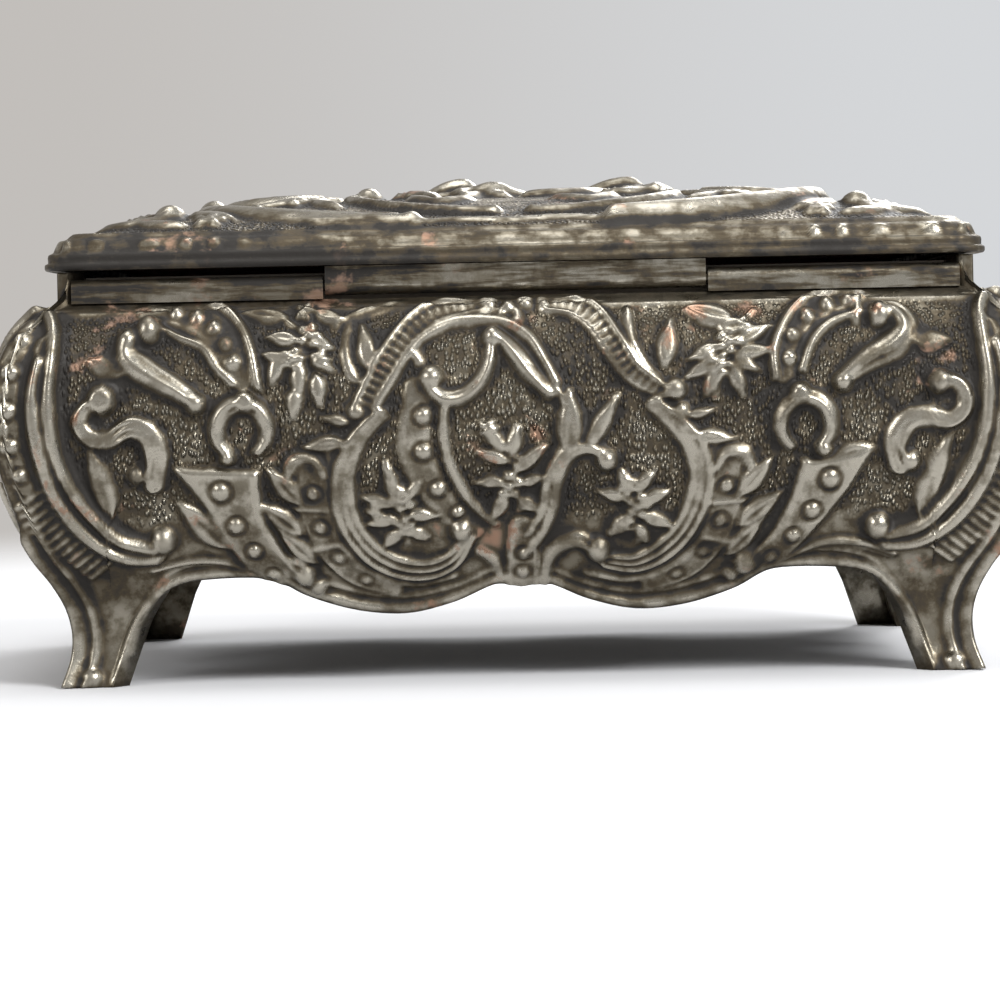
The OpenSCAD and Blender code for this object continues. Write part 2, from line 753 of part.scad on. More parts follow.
front_wall();
back_wall();
left_wall();
right_wall();
bottom_plate();
hinge_leaf_left();
hinge_leaf_right();
hinge_leaf_lid();
hinge_pin();
floor_card();
floor_pad();
front_lining_card();
back_lining_card();
left_lining_card();
right_lining_card();
front_lining_velvet();
back_lining_velvet();
left_lining_velvet();
right_lining_velvet();
lid_shell();
lid_card();
lid_pad();
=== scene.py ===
"""The looks of a small footed casket in cast metal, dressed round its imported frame."""
import math

import bmesh
import bpy
import numpy as np
from mathutils import Matrix, Vector


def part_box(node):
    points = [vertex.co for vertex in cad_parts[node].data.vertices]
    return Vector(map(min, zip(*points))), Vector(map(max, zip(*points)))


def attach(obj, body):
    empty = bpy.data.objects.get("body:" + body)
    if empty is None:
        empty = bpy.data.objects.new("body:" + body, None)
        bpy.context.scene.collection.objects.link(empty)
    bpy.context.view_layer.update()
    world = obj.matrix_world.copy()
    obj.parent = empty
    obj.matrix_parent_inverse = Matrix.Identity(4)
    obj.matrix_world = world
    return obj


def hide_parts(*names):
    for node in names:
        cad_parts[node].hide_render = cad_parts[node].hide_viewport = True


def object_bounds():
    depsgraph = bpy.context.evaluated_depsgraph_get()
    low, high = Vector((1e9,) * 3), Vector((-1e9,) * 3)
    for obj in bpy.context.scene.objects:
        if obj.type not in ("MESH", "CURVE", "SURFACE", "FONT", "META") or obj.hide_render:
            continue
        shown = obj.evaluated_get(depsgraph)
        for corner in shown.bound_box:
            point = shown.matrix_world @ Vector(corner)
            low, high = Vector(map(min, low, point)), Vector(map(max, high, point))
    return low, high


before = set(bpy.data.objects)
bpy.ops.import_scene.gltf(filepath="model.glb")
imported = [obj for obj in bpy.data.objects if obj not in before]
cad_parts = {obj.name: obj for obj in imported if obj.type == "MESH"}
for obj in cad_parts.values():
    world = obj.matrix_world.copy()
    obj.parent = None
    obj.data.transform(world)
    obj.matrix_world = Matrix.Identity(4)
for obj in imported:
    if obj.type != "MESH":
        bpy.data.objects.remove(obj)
CAD_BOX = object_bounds()

bl_info = {
    "name": "Footed Casket",
    "version": (1, 0, 0),
    "blender": (4, 5, 0),
    "location": "View3D > Sidebar > Casket",
    "description": "Dresses a cast metal casket with relief, patina and a velvet lining",
    "category": "Object",
}

MM = 0.001
CASKET = "casket"
LID = "lid"

# Sizes taken from the frame, in millimetres
RIM_LOW, RIM_HIGH = (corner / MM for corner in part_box("lid_shell"))
NECK_TOP = (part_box("front_wall")[1] / MM).z
RIM_OVER = 1.7
NECK_X = RIM_HIGH.x - RIM_OVER
NECK_Y = RIM_HIGH.y - RIM_OVER
HINGE_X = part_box("hinge_pin")[1].x / MM
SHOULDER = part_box("hinge_leaf_left")[0].z / MM
WALL = 1.8
# Room left between the looks and the CAD's own box
INSIDE = 0.02
# How far the widest relief stands out from the neck
WIDEST = CAD_BOX[1].y / MM - NECK_Y - INSIDE
KNEE = 12.0
# Height up to which the leg's own mouldings run
LEG_TOP = KNEE + 8

# Upright section of a wall, as the part's source gives it:
# how far it stands out past the neck, and the height
BELLY = 6.6
WAIST = 1.45
TOE = 0.2
BELLY_FORM = ((0.11, 0.40), (0.25, 0.68), (0.41, 0.91), (0.59, 1.0),
              (0.75, 0.92), (0.87, 0.70), (0.95, 0.36), (0.99, 0.10))


def smooth_line(points, steps=8):
    """A smooth line through points, as an array."""
    p = np.array([points[0], *points, points[-1]], float)
    t = np.linspace(0, 1, steps, endpoint=False)[:, None]
    parts = []
    for a, b, c, d in zip(p[:-3], p[1:-2], p[2:-1], p[3:]):
        parts.append(0.5 * (2 * b + (c - a) * t + (2 * a - 5 * b + 4 * c - d) * t**2
                            + (3 * b - a - 3 * c + d) * t**3))
    return np.vstack(parts + [p[-1:]])


def wall_section():
    """Points of the wall's outer section from the floor to the neck's top edge."""
    rise = SHOULDER - KNEE
    knots = [(-TOE, 0), (-WAIST * 0.83, KNEE / 4), (-WAIST, KNEE / 2),
             (-WAIST * 0.6, KNEE * 0.75), (BELLY * 0.08, KNEE)]
    knots += [(BELLY * out, KNEE + rise * up) for up, out in BELLY_FORM]
    knots += [(0, SHOULDER + 0.4)]
    return np.vstack([smooth_line(knots, 6), [(0, SHOULDER + 1.2), (0, NECK_TOP)]])


SECTION = wall_section()
SECTION_RUN = np.concatenate([[0], np.cumsum(np.hypot(*np.diff(SECTION, axis=0).T))])


def stand_out(z):
    """How far the wall stands out past the neck at height z."""
    return np.interp(z, SECTION[:, 1], SECTION[:, 0])


def run_at(z):
    """Length along the section from the floor to height z."""
    return np.interp(z, SECTION[:, 1], SECTION_RUN)


def height_at(run):
    """Height at a length along the section."""
    return np.interp(run, SECTION_RUN, SECTION[:, 1])


def section_normal(z):
    """Outward normal of the section at height z: outwards and upwards parts."""
    step = 0.3
    slope = (stand_out(z + step) - stand_out(z - step)) / (2 * step)
    size = np.sqrt(1 + slope**2)
    return 1 / size, -slope / size


# Lower outline of a wall: the leg from the corner, the apron by shares of the rest
FOOT = 5.0
LOBE = 4.0
LEG_EDGE = ((6.8, 11.2), (4.6, 9.4), (2.4, 6.5), (1, 3), (0.1, 0))
APRON_FORM = ((0, 0.35), (0.08, 0.3), (0.19, 0.77), (0.33, 1.1),
              (0.48, 0.97), (0.62, 0.52), (0.72, 0.02), (0.9, 0))


def lower_edge(half):
    """Outline from the middle of the apron to the foot's inner corner."""
    inner = half - FOOT - LEG_EDGE[0][0]
    points = [(inner * f, KNEE - LOBE * drop) for f, drop in APRON_FORM]
    points += [(half - FOOT - back, up) for back, up in LEG_EDGE]
    return smooth_line(points, 6)


def lower_at(u, half):
    """Height of the lower outline at distance u from the middle."""
    edge = lower_edge(half)
    edge = np.vstack([edge, [(half + 20, 0)]])
    return np.interp(np.abs(u), edge[:, 0], edge[:, 1])


class Relief:
    """Height of the ornament over a smooth ground, in millimetres."""

    def __init__(self, u, z):
        self.u, self.z = u, z
        self.height = np.zeros_like(u)
        self.flip = np.ones(2)

    def sides(self, *flips):
        """Mirrors what is drawn in each turn of a loop by a pair of signs."""
        for flip in flips:
            self.flip = np.array(flip, float)
            yield flip
        self.flip = np.ones(2)

    def near(self, line, reach):
        """Points within reach of a line: index, signed distance, share and length along it."""
        low, high = line.min(0) - reach, line.max(0) + reach
        at = np.nonzero((self.u > low[0]) & (self.u < high[0])
                        & (self.z > low[1]) & (self.z < high[1]))
        x, y = self.u[at], self.z[at]
        best = np.full(x.shape, 1e9)
        side = np.zeros_like(x)
        along = np.zeros_like(x)
        steps = np.diff(line, axis=0)
        sizes = np.maximum(np.hypot(*steps.T), 1e-6)
        runs = np.concatenate([[0], np.cumsum(sizes)])
        for (px, py), (dx, dy), size, run in zip(line, steps, sizes, runs):
            t = np.clip(((x - px) * dx + (y - py) * dy) / size**2, 0, 1)
            gx, gy = x - px - t * dx, y - py - t * dy
            gap = np.hypot(gx, gy)
            closer = gap < best
            best = np.where(closer, gap, best)
            side = np.where(closer, np.sign(dx * gy - dy * gx), side)
            along = np.where(closer, run + t * size, along)
        keep = best < reach
        at = tuple(axis[keep] for axis in at)
        return at, best[keep] * side[keep], along[keep] / runs[-1], along[keep]

    def raise_to(self, at, height):
        """Lifts the relief to a height where it is lower."""
        self.height[at] = np.maximum(self.height[at], height)

    def stroke(self, points, wide, high, form="round", steps=8):
        """A moulded band along a curve. wide lists its widths at even steps along it."""
        line = smooth_line(np.array(points) * self.flip, steps)
        wide = np.ones(3) * wide if np.size(wide) == 1 else np.array(wide)
        at, gap, share, run = self.near(line, wide.max() / 2)
        half = np.interp(share, np.linspace(0, 1, len(wide)), wide) / 2
        q = gap / half
        inside = np.abs(q) < 1
        at = tuple(axis[inside] for axis in at)
        self.raise_to(at, high * FORMS[form](q[inside], run[inside]))

    def gap_from(self, centre, size):
        """Distances from a centre, as shares of a disc's half width."""
        u, z = centre * self.flip
        return np.hypot(self.u - u, self.z - z) / (size / 2)

    def balls(self, *places):
        """Round bosses, each given by its two coordinates, its width and its height."""
        for u, z, size, high in places:
            gap = self.gap_from((u, z), size)
            inside = gap < 1
            self.raise_to(inside, high * (1 - gap[inside]**2)**0.6)

    def leaf(self, base, tip, wide, high, rib=0.35):
        """A pointed leaf from base to tip with a mid rib and curled edges."""
        line = np.array([base, tip]) * self.flip
        at, gap, share, _ = self.near(line, wide / 2)
        half = wide / 2 * np.sin(np.pi * np.clip(share, 0.02, 0.98)**0.75)
        q = np.abs(gap) / np.maximum(half, 0.05)
        inside = q < 1
        at = tuple(axis[inside] for axis in at)
        q = q[inside]
        shape = (1 - q**2)**0.6 * (1 - rib * np.exp(-(q / 0.22)**2))
        self.raise_to(at, high * shape)

    def plate(self, outline, high, soft=0.7):
        """A flat plate inside a closed outline, with a rounded edge."""
        corners = np.array(outline) * self.flip
        line = np.vstack([corners, corners[:1]])
        reach = np.ptp(corners, axis=0).max()
        at, gap, _, _ = self.near(line, reach)
        x, y = self.u[at], self.z[at]
        inside = np.zeros(len(x), bool)
        for (ax, ay), (bx, by) in zip(line[:-1], line[1:]):
            crosses = (ay > y) != (by > y)
            rise = by - ay if by != ay else 1e-9
            inside ^= crosses & (x < ax + (y - ay) / rise * (bx - ax))
        at = tuple(axis[inside] for axis in at)
        rest = np.clip(np.abs(gap[inside]) / soft, 0, 1)
        self.raise_to(at, high * np.sqrt(rest * (2 - rest)))

    def leaves(self, places, high, rib=0.35):
        """Several leaves, each given by its base, tip and width."""
        for base, tip, wide in places:
            self.leaf(base, tip, wide, high, rib)

    def bloom(self, centre, size, high, turn=0.0):
        """A small open flower of five petals, turned the same way on every side."""
        u, z = centre
        reach = size * 0.33 * self.flip
        for k in range(5):
            a = turn + 2 * math.pi * k / 5
            self.balls((u + reach[0] * math.cos(a), z + reach[1] * math.sin(a), size * 0.4, high))
        self.balls((u, z, size * 0.36, high * 1.2))

    def rings(self, places, high=0.42):
        """Round bosses, each in a narrow sunk ring. Each place is a centre and a diameter."""
        for centre, size in places:
            gap = self.gap_from(centre, size)
            ring = (gap < 1.35) & (gap >= 0.8)
            self.height[ring] -= 0.34 * np.sin(np.pi * (gap[ring] - 0.8) / 0.55)
            dome = gap < 0.95
            self.height[dome] += high * (1 - (gap[dome] / 0.95)**2)**0.7


def edge_of(q, soft=0.25):
    """Falls smoothly to nothing over the last part of a band's half width."""
    rest = np.clip((1 - np.abs(q)) / soft, 0, 1)
    return rest * rest * (3 - 2 * rest)


def form_round(q, run):
    return np.cos(q * math.pi / 2)**0.8


def form_double(q, run):
    """Two ridges with a groove between them."""
    ridge = np.exp(-((np.abs(q) - 0.64) / 0.24)**2)
    return edge_of(q, 0.3) * (0.2 + 0.8 * ridge)


def form_triple(q, run):
    """Three ridges that step down from one side."""
    ridge = np.maximum(np.exp(-((q + 0.62) / 0.26)**2),
                       np.maximum(0.86 * np.exp(-(q / 0.2)**2),
                                  0.72 * np.exp(-((q - 0.56) / 0.2)**2)))
    return edge_of(q, 0.3) * (0.22 + 0.78 * ridge)


def form_triple_other(q, run):
    return form_triple(-q, run)


def form_ribbed(q, run):
    """A smooth outer ridge, a row of cross ribs and a low inner border."""
    outer = np.exp(-((q - 0.66) / 0.24)**2)
    inner = 0.62 * np.exp(-((q + 0.74) / 0.2)**2)
    rib = (0.5 + 0.5 * np.cos(2 * math.pi * run / 0.92))**1.5
    middle = np.clip(1 - np.abs((q + 0.12) / 0.62)**4, 0, 1) * (0.22 + 0.5 * rib)
    return edge_of(q, 0.2) * np.maximum(np.maximum(outer, inner), middle)


def form_ribbed_other(q, run):
    return form_ribbed(-q, run)


def form_strap(q, run):
    """A flat strap with fine raised borders."""
    border = np.exp(-((np.abs(q) - 0.84) / 0.12)**2)
    return edge_of(q, 0.18) * (0.66 + 0.34 * border)


def form_lined(q, run):
    """A rounded band with a line scored beside its middle."""
    return np.cos(q * math.pi / 2)**0.7 * (1 - 0.5 * np.exp(-((q - 0.34) / 0.16)**2))


def form_rope(q, run):
    """A twisted cord edge."""
    twist = 0.5 + 0.5 * np.cos(2 * math.pi * (run / 1.1 + q * 0.35))
    return np.cos(q * math.pi / 2)**0.8 * (0.68 + 0.32 * twist)


def form_swept(q, run):
    """A leaf-like band that is fullest to one side."""
    return edge_of(q, 0.3) * (0.35 + 0.65 * np.exp(-((q - 0.35) / 0.45)**2))


FORMS = {
    "round": form_round, "double": form_double, "triple": form_triple,
    "triple_other": form_triple_other, "ribbed": form_ribbed,
    "ribbed_other": form_ribbed_other, "strap": form_strap, "lined": form_lined,
    "rope": form_rope, "swept": form_swept,
}

# Corner scroll: its outer and inner ridge, measured from the neck's corner
CORNER_OUT = ((1.4, 36.2), (2.1, 32.8), (2.0, 29.3), (1.2, 25.3), (-0.2, 21.4),
              (-2.4, 18.1), (-5.0, 15.9), (-7.6, 14.9), (-10.6, 14.8))
CORNER_IN = ((0.9, 41.9), (-0.1, 39.4), (0.0, 36.3), (0.4, 32.8), (0.3, 28.8), (-0.5, 25.2),
             (-2.0, 22), (-4.2, 19), (-6.8, 16.7), (-10.4, 15.8))
KNEE_RIBS = 12


def corner_dress(relief, half):
    """Corner scroll, strap, knee ribs and leg mouldings at one end of a wall."""
    def at(points):
        return [(half + du, z) for du, z in points]

    middle = [((a + c) / 2, (b + d) / 2) for (a, b), (c, d) in zip(CORNER_OUT, CORNER_IN[1:])]
    relief.stroke(at(middle), (2.4, 3.4, 2.6), 0.75, "strap", 8)
    relief.stroke(at(CORNER_OUT), (1.4, 2.4, 2.4, 1.6), 1.6, "round", 8)
    relief.stroke(at(CORNER_IN), (1.5, 2.2, 2.1, 1.5), 1.45, "round", 8)
    relief.balls((half - 11.4, 16.6, 3.0, 1.6))
    relief.stroke(at([(2.6, 40.4), (4.4, 36), (5.1, 30.6), (4.5, 26), (3.2, 22.6)]),
                  (1.4, 3.0, 2.0), 0.5, "strap")
    relief.rings(zip(at([(3.2, 38.6), (4.4, 35.2), (5, 31), (4.7, 27.2), (3.7, 24)]),
                     (1.5, 1.9, 2.1, 1.9, 1.6)), 0.7)
    for share in np.arange(KNEE_RIBS) / (KNEE_RIBS - 1):
        start = np.array((1.3, 22.6)) + share * np.array((-6.6, -8.4))
        reach = 4.7 - 1.7 * share
        end = start + reach * np.array((0.79, -0.61))
        relief.stroke(at([start, end]), (0.5, 0.64, 0.5), 0.85)


def edge_dress(relief, half):
    """Mouldings along the apron, the legs and the corner edges."""
    edge = lower_edge(half)[::3]
    for _ in relief.sides((1, 1), (-1, 1)):
        inset = [(u - 0.3, z + 0.6) for u, z in edge]
        relief.stroke(inset, 1.4, 0.6, "round", 3)
        second = [(u - 0.9, z + 2.0) for u, z in edge if u < half - FOOT - 2]
        relief.stroke(second, 0.8, 0.28, "round", 3)
        rope = [(u, z) for u, z in inset if u > half * 0.5 and z > 9]
        if len(rope) > 2:
            relief.stroke(rope, 1.2, 0.8, "rope", 4)
        relief.balls((half - FOOT / 2 - 0.2, 1.0, 2.2, 0.9))
    gap = half + stand_out(relief.z) - np.abs(relief.u)
    fade = np.clip((SHOULDER - 0.6 - relief.z) / 1.5, 0, 1)
    leg = np.clip((LEG_TOP - relief.z) / 3, 0, 1)
    main = 0.85 * leg * np.clip(1 - (gap / 1.1)**2, 0, 1)**0.7
    second = 0.7 * leg * np.clip(1 - ((gap - 1.7) / 0.5)**2, 0, 1)**0.7
    relief.height = np.maximum(relief.height, fade * np.maximum(main, second))


def long_ornament(relief):
    """Relief of a long wall, seen from outside."""
    s = relief.stroke
    # Smooth ground round the middle frame, and the plain border under the neck
    s([(-50, 42.4), (-30, 42.6), (0, 42.4), (30, 42.6), (50, 42.4)], 3.0, 0.22, "strap", 2)
    s([(-19.8, 39.4), (-16.8, 40.7), (-12.4, 42)], (0.9, 1.5, 1.1), 0.6, "swept")
    s([(-14.8, 33.6), (-17.6, 33.8), (-18.6, 36.6), (-18.2, 39.6)], (1.0, 1.3, 0.8), 0.45, "swept")
    s([(12.1, 40.4), (12.2, 37.6), (13.5, 34.9), (15.6, 32.6)], (1.4, 1.6, 1.0), 0.7, "swept")
    # Ribbed scrolls and the arch between them
    s([(-17.3, 30.4), (-15.2, 33.9), (-13.2, 37), (-11, 39.3), (-8.4, 40.8), (-4.2, 41.5)],
      (2.2, 3.1, 3.1, 2.6), 1.15, "ribbed", 10)
    s([(3.4, 41.5), (6.2, 41.1), (8.6, 39.6), (10.4, 37), (12.4, 34), (15.8, 31.6)],
      (2.6, 3.1, 3.0, 1.8), 1.15, "ribbed", 10)
    relief.balls((17.1, 31.9, 2.6, 1.2), (17.7, 29.6, 2.0, 0.9), (-17.6, 30.2, 2.2, 0.9),
                 (-9.4, 33.7, 2.7, 1.3), (-2.7, 37.8, 2.4, 1.5), (-2.9, 41.5, 1.9, 1.1),
                 (-0.9, 41.1, 1.7, 1.1), (1, 41.7, 2.0, 1.1))
    s([(-15.6, 30.4), (-13.3, 34.2), (-11.3, 37), (-9.2, 38.6), (-6.2, 39.6), (-1.6, 39.4),
       (1.2, 37.9), (2.8, 35.5), (4.2, 32.8)], (1.1, 1.4, 1.6, 1.6, 1.4), 0.85, "round", 10)
    s([(-1.9, 37.7), (-0.2, 36), (1.4, 33.9), (3.4, 31.8)], (1.8, 2.3, 1.6), 1.25, "lined", 10)
    s([(4, 32.6), (5.1, 30.4), (5.2, 28), (4.6, 25.8), (3.6, 24.2)], (1.3, 1.1, 0.8), 0.8,
      "round", 10)
    s([(-9.6, 32.8), (-8.2, 31.5), (-6.2, 31.5), (-4.4, 32.8), (-3.2, 34.9), (-2.8, 37.2)],
      (1.6, 2.0, 1.7, 1.4), 1.15, "lined", 10)
    s([(-10.6, 35.4), (-11, 37), (-10, 38)], (1.2, 1.6, 0.8), 0.7, "swept")
    relief.leaves((((-2.2, 40.9), (-4.4, 40.1), 1.2), ((0, 41), (0.4, 38.9), 1.2),
                   ((-1.6, 41), (-1.8, 39.6), 1.1)), 0.8)
    # Circle line and the strap of bosses beside it
    s([(-11, 32.6), (-11.2, 29.6), (-11.4, 26), (-9.9, 22.2), (-7.6, 18.9), (-5.2, 16.8)],
      (2.6, 3.3, 3.7, 3.4, 2.6, 2.0), 0.42, "strap", 10)
    s([(-7.9, 31.2), (-8.2, 28.1), (-7.7, 24.8), (-6.5, 21.9), (-4.9, 19.6), (-2.7, 17.6)],
      (0.9, 1.0, 0.9), 0.8, "round", 10)
    relief.rings((((-10.3, 29.6), 2.1), ((-10.4, 25.7), 2.0), ((-8.9, 21.6), 1.8),
                  ((-6.8, 19), 1.4)), 0.6)
    # Lower scrolls, left and right
    s([(-15, 29.8), (-17.4, 27.4), (-18.9, 24.5), (-19.3, 21.3), (-18.6, 17.9), (-16.5, 14.9),
       (-13.4, 13.1), (-10.1, 12.8), (-7.4, 14), (-6, 16)], (1.8, 2.9, 3.1, 3.0, 2.0), 1.15,
      "triple", 10)
    relief.balls((-6.5, 17, 2.5, 1.5), (8.5, 14.6, 2.8, 1.6), (9.5, 24.4, 2.5, 1.4))
    s([(14.8, 30.3), (17.8, 27.6), (19.5, 24.8), (19.7, 21.2), (18.3, 17.4), (16, 14.8),
       (12.7, 13.1), (9.4, 13.4)], (2.0, 3.0, 3.2, 3.0, 2.0), 1.15, "triple_other", 10)
    s([(-20.6, 26.6), (-21, 21), (-19.8, 16), (-16.8, 12.6), (-12, 11), (-7.4, 11.8)],
      (1.0, 1.2, 1.0), 0.45, "round", 8)
    s([(21.2, 26), (21.3, 21), (19.9, 16), (17, 12.6), (12.2, 11), (7.4, 11.8)],
      (1.0, 1.2, 1.0), 0.45, "round", 8)
    # Two leaves, the swept strap under them and the clasp
    relief.leaves((((5.6, 24.8), (5.6, 32.6), 3.2), ((7.2, 25.6), (10.9, 31.6), 2.2)), 1.15)
    s([(9.6, 24.2), (8.9, 25.4), (7, 26), (4.9, 25), (3.6, 22.4), (3.1, 19.8), (2, 17.2),
       (0.6, 15.4)], (1.6, 2.4, 2.8, 3.0, 3.0), 0.95, "swept", 10)
    s([(8.8, 25.6), (6.6, 26.1), (4.4, 24.9), (2.9, 22.2), (2.4, 19.4), (0.8, 16.6)],
      (0.8, 1.0, 0.8), 1.15, "round", 10)
    s([(0.3, 17), (0.2, 14), (0.1, 10.4)], (3.2, 3.8, 4.0), 0.8, "strap")
    relief.rings((((0.3, 14.4), 1.5), ((0.2, 12.3), 1.5)), 0.45)
    s([(2.4, 11.2), (2.9, 13.7), (4.3, 15.2), (6.4, 15.7), (8.2, 14.6)], (1.8, 2.1, 1.8), 1.0,
      "lined", 8)
    s([(-2.2, 11.4), (-2.9, 13.4), (-4.6, 14.6)], (1.4, 1.6, 1.0), 0.7, "lined", 8)
    sprays(relief)
    for _ in relief.sides((-1, 1), (1, 1)):
        outer_straps(relief)
    left_field(relief)
    right_field(relief)


def sprays(relief):
    """The three flower sprays inside the middle frame."""
    for stem in ([(0, 19), (-0.4, 23), (-1.4, 26.6)], [(-12.4, 15.6), (-12.9, 19), (-14, 23.4)],
                 [(12.9, 15.2), (12.4, 18.6), (11.9, 22.4)]):
        relief.stroke(stem, (0.6, 0.7, 0.5), 0.5)
    relief.leaves((
        ((-1.2, 24.4), (-4.6, 25.7), 1.7), ((-1.6, 25.6), (-4.1, 29), 1.7),
        ((-0.9, 24.9), (-0.1, 28.7), 1.8), ((-0.4, 23.4), (3.1, 26.3), 1.8),
        ((-1.8, 22.4), (-4.8, 22.2), 1.5), ((-1.4, 21), (-3.2, 17.9), 1.9),
        ((-0.2, 20.4), (2.4, 19), 1.8), ((0.2, 22), (2.7, 22.9), 1.4),
        ((-13.2, 19.4), (-14.6, 24.8), 1.7), ((-13.6, 20), (-17.3, 20.9), 1.6),
        ((-13.4, 18.6), (-17, 17.8), 1.6), ((-12.2, 18.9), (-9, 18.6), 1.5),
        ((-12.8, 17.4), (-15.2, 15.2), 1.6), ((-12.2, 17.2), (-9.9, 16), 1.5),
        ((-12.6, 20.4), (-10.8, 22.8), 1.5), ((11.6, 20.2), (8.5, 21), 1.6),
        ((12, 20.8), (10.9, 23.6), 1.6), ((13.2, 19.8), (16.5, 20.9), 1.7),
        ((13.2, 18.4), (16.8, 17), 1.8), ((12, 18.4), (9.5, 15.9), 1.8),
        ((12.6, 17.4), (14.1, 15), 1.6), ((12.6, 21), (14.6, 23), 1.6)), 0.9)
    for centre, size, turn in (
            ((-1.2, 21.9), 3.2, 0.3), ((-3.2, 28.1), 2.0, 0), ((0.3, 24.4), 1.8, 1),
            ((-12.8, 20.6), 3.1, 0.6), ((-12.7, 17.6), 2.5, 0.2), ((-15.9, 19.4), 1.8, 0.8),
            ((12.9, 19.4), 3.1, 0.1), ((11.8, 21.6), 2.3, 0.9), ((11.4, 17.4), 2.2, 0.5)):
        relief.bloom(centre, size, 1.0, turn)


def outer_straps(relief):
    """The straps and leaves just outside the middle frame, on one side."""
    relief.stroke([(22.7, 24), (22.6, 19.8), (21.2, 15.6), (18.4, 12.2), (14, 10.4)],
                  (3.4, 3.6, 3.2, 2.4, 1.6), 0.55, "strap", 10)
    relief.rings((((22.6, 21.4), 1.7), ((21.9, 17.6), 1.6), ((20.1, 14.2), 1.4),
                  ((17.2, 11.6), 1.2)), 0.4)
    for bar in ((20.9, 19.6), (24.6, 19.8)), ((19.9, 15.8), (23.2, 15.2)):
        relief.stroke(bar, 0.7, 0.75)
    relief.stroke([(21.4, 23.4), (22.4, 25), (24.4, 25), (25.2, 23.6)], (1.2, 1.7, 1.2), 1.0,
                  "lined")
    relief.leaves((((23.9, 20.4), (27.4, 24.2), 2.7), ((23.9, 17), (28.6, 20.6), 2.7),
                   ((22.6, 13.8), (26.6, 17.6), 2.5), ((23.2, 13), (27, 14.4), 2.0),
                   ((18.4, 29), (21.2, 29.6), 1.3), ((18.8, 27), (23.6, 26.4), 1.9),
                   ((15.9, 34.4), (16.9, 39.6), 2.4)), 0.9)


def ring_scroll(relief, centre, side):
    """A scroll that closes to a ring."""
    reach = 2.75
    arc = [(centre[0] + side * reach * math.cos(math.radians(a)),
            centre[1] + reach * 1.06 * math.sin(math.radians(a))) for a in range(-52, 240, 26)]
    relief.stroke(arc, (1.3, 2.0, 2.2, 2.0, 1.4), 1.2, "lined", 6)


def left_field(relief):
    """Scrolls, ring, strap and flowers between the middle and the viewer's left corner."""
    s = relief.stroke
    s([(-40.6, 41.4), (-36.6, 41), (-33.2, 39.2), (-31.2, 36.6), (-29.9, 33.8)],
      (2.4, 3.6, 3.6, 2.4), 0.45, "strap", 10)
    s([(-40.4, 42.4), (-36.4, 42.9), (-32.8, 41.9), (-30.4, 39.8), (-29, 37), (-28.2, 33)],
      (0.9, 1.2, 1.3, 1.1), 1.15, "round", 10)
    s([(-40.2, 40.2), (-37.1, 38.6), (-34.3, 37.4), (-32.7, 35.2), (-31, 33.4)],
      (0.7, 0.9, 0.7), 0.75, "round", 10)
    for u, z in (-37.2, 41.1), (-34.9, 40.6), (-33, 39.4), (-31.7, 37.6), (-30.8, 35.7):
        relief.balls((u, z, 1.8, 1.05))
    s([(-42.4, 38.4), (-42.3, 36.4), (-40, 34.6), (-37.2, 33), (-34.9, 31.4)],
      (2.6, 3.4, 2.8, 2.0), 1.4, "lined", 10)
    relief.balls((-40.1, 39.2, 3.1, 1.9), (-42.4, 38.1, 2.5, 1.6), (-35, 31.4, 2.4, 1.5),
                 (-45.2, 32, 3.4, 1.9), (-41.6, 23.8, 2.0, 1.1), (-29.7, 31.5, 2.6, 1.7),
                 (-31.7, 25.5, 1.8, 1.4))
    s([(-46.8, 31.2), (-47.7, 29.6), (-46.4, 27.9), (-44.3, 27.9), (-42.2, 29), (-40.2, 28.2),
       (-39.4, 25.9), (-39.8, 22.8)], (1.8, 2.1, 2.3, 2.8, 2.9, 2.4), 1.3, "triple", 10)
    relief.leaves((((-42.8, 34.6), (-47, 36.4), 2.6), ((-44.6, 19.2), (-46.7, 27), 2.9),
                   ((-32.2, 15.6), (-37.4, 20.8), 3.2), ((-25, 40.4), (-30.4, 40.9), 1.9)), 0.7)
    ring_scroll(relief, (-30.1, 28.4), 1)
    relief.plate([(-37.8, 24.6), (-29.3, 24.2), (-28.2, 19.4), (-26.6, 15.8), (-24.2, 12.8),
                  (-26.4, 11.1), (-30.4, 13.2), (-32.5, 16.3), (-34.7, 20.5)], 0.8)
    s([(-28.9, 23.6), (-28.6, 19.6), (-27, 15.9), (-24.8, 13)], (1.2, 1.1, 0.9), 1.0, "round", 10)
    relief.rings((((-32.6, 21.9), 2.2), ((-31.1, 18.2), 1.9), ((-29.3, 15.4), 1.6),
                  ((-27.3, 12.8), 1.3)), 0.5)
    relief.balls((-23.9, 12.4, 2.7, 1.6), (-22.5, 11, 2.2, 1.2))
    s([(-40.6, 13), (-36.4, 13.9), (-32, 13.6), (-28, 11.8)], (0.8, 1.3, 0.8), 0.6, "swept", 8)
    s([(-26.4, 40.9), (-23.6, 38.6), (-23.2, 35), (-23.4, 31.6)], (0.6, 0.7, 0.5), 0.5)
    relief.leaves((((-22.2, 40.6), (-18.6, 39.9), 1.7), ((-23.8, 37.8), (-27.4, 38.4), 1.9),
                   ((-22.6, 38), (-19.8, 36.9), 1.8), ((-22.6, 36.4), (-20, 34.6), 1.8),
                   ((-25.6, 36.6), (-27, 33), 1.9), ((-23.6, 35.6), (-24, 31.8), 2.0),
                   ((-21.9, 34.4), (-21.5, 30.8), 2.0), ((-24.2, 32.8), (-24.6, 29.4), 1.9),
                   ((-24.8, 35.6), (-28, 36.6), 1.6)), 1.0)
    for centre, size in (((-23.1, 40.9), 2.2), ((-22.6, 38.3), 2.9), ((-24.4, 35.9), 2.7),
                         ((-21.4, 35.8), 2.2)):
        relief.bloom(centre, size, 1.15)


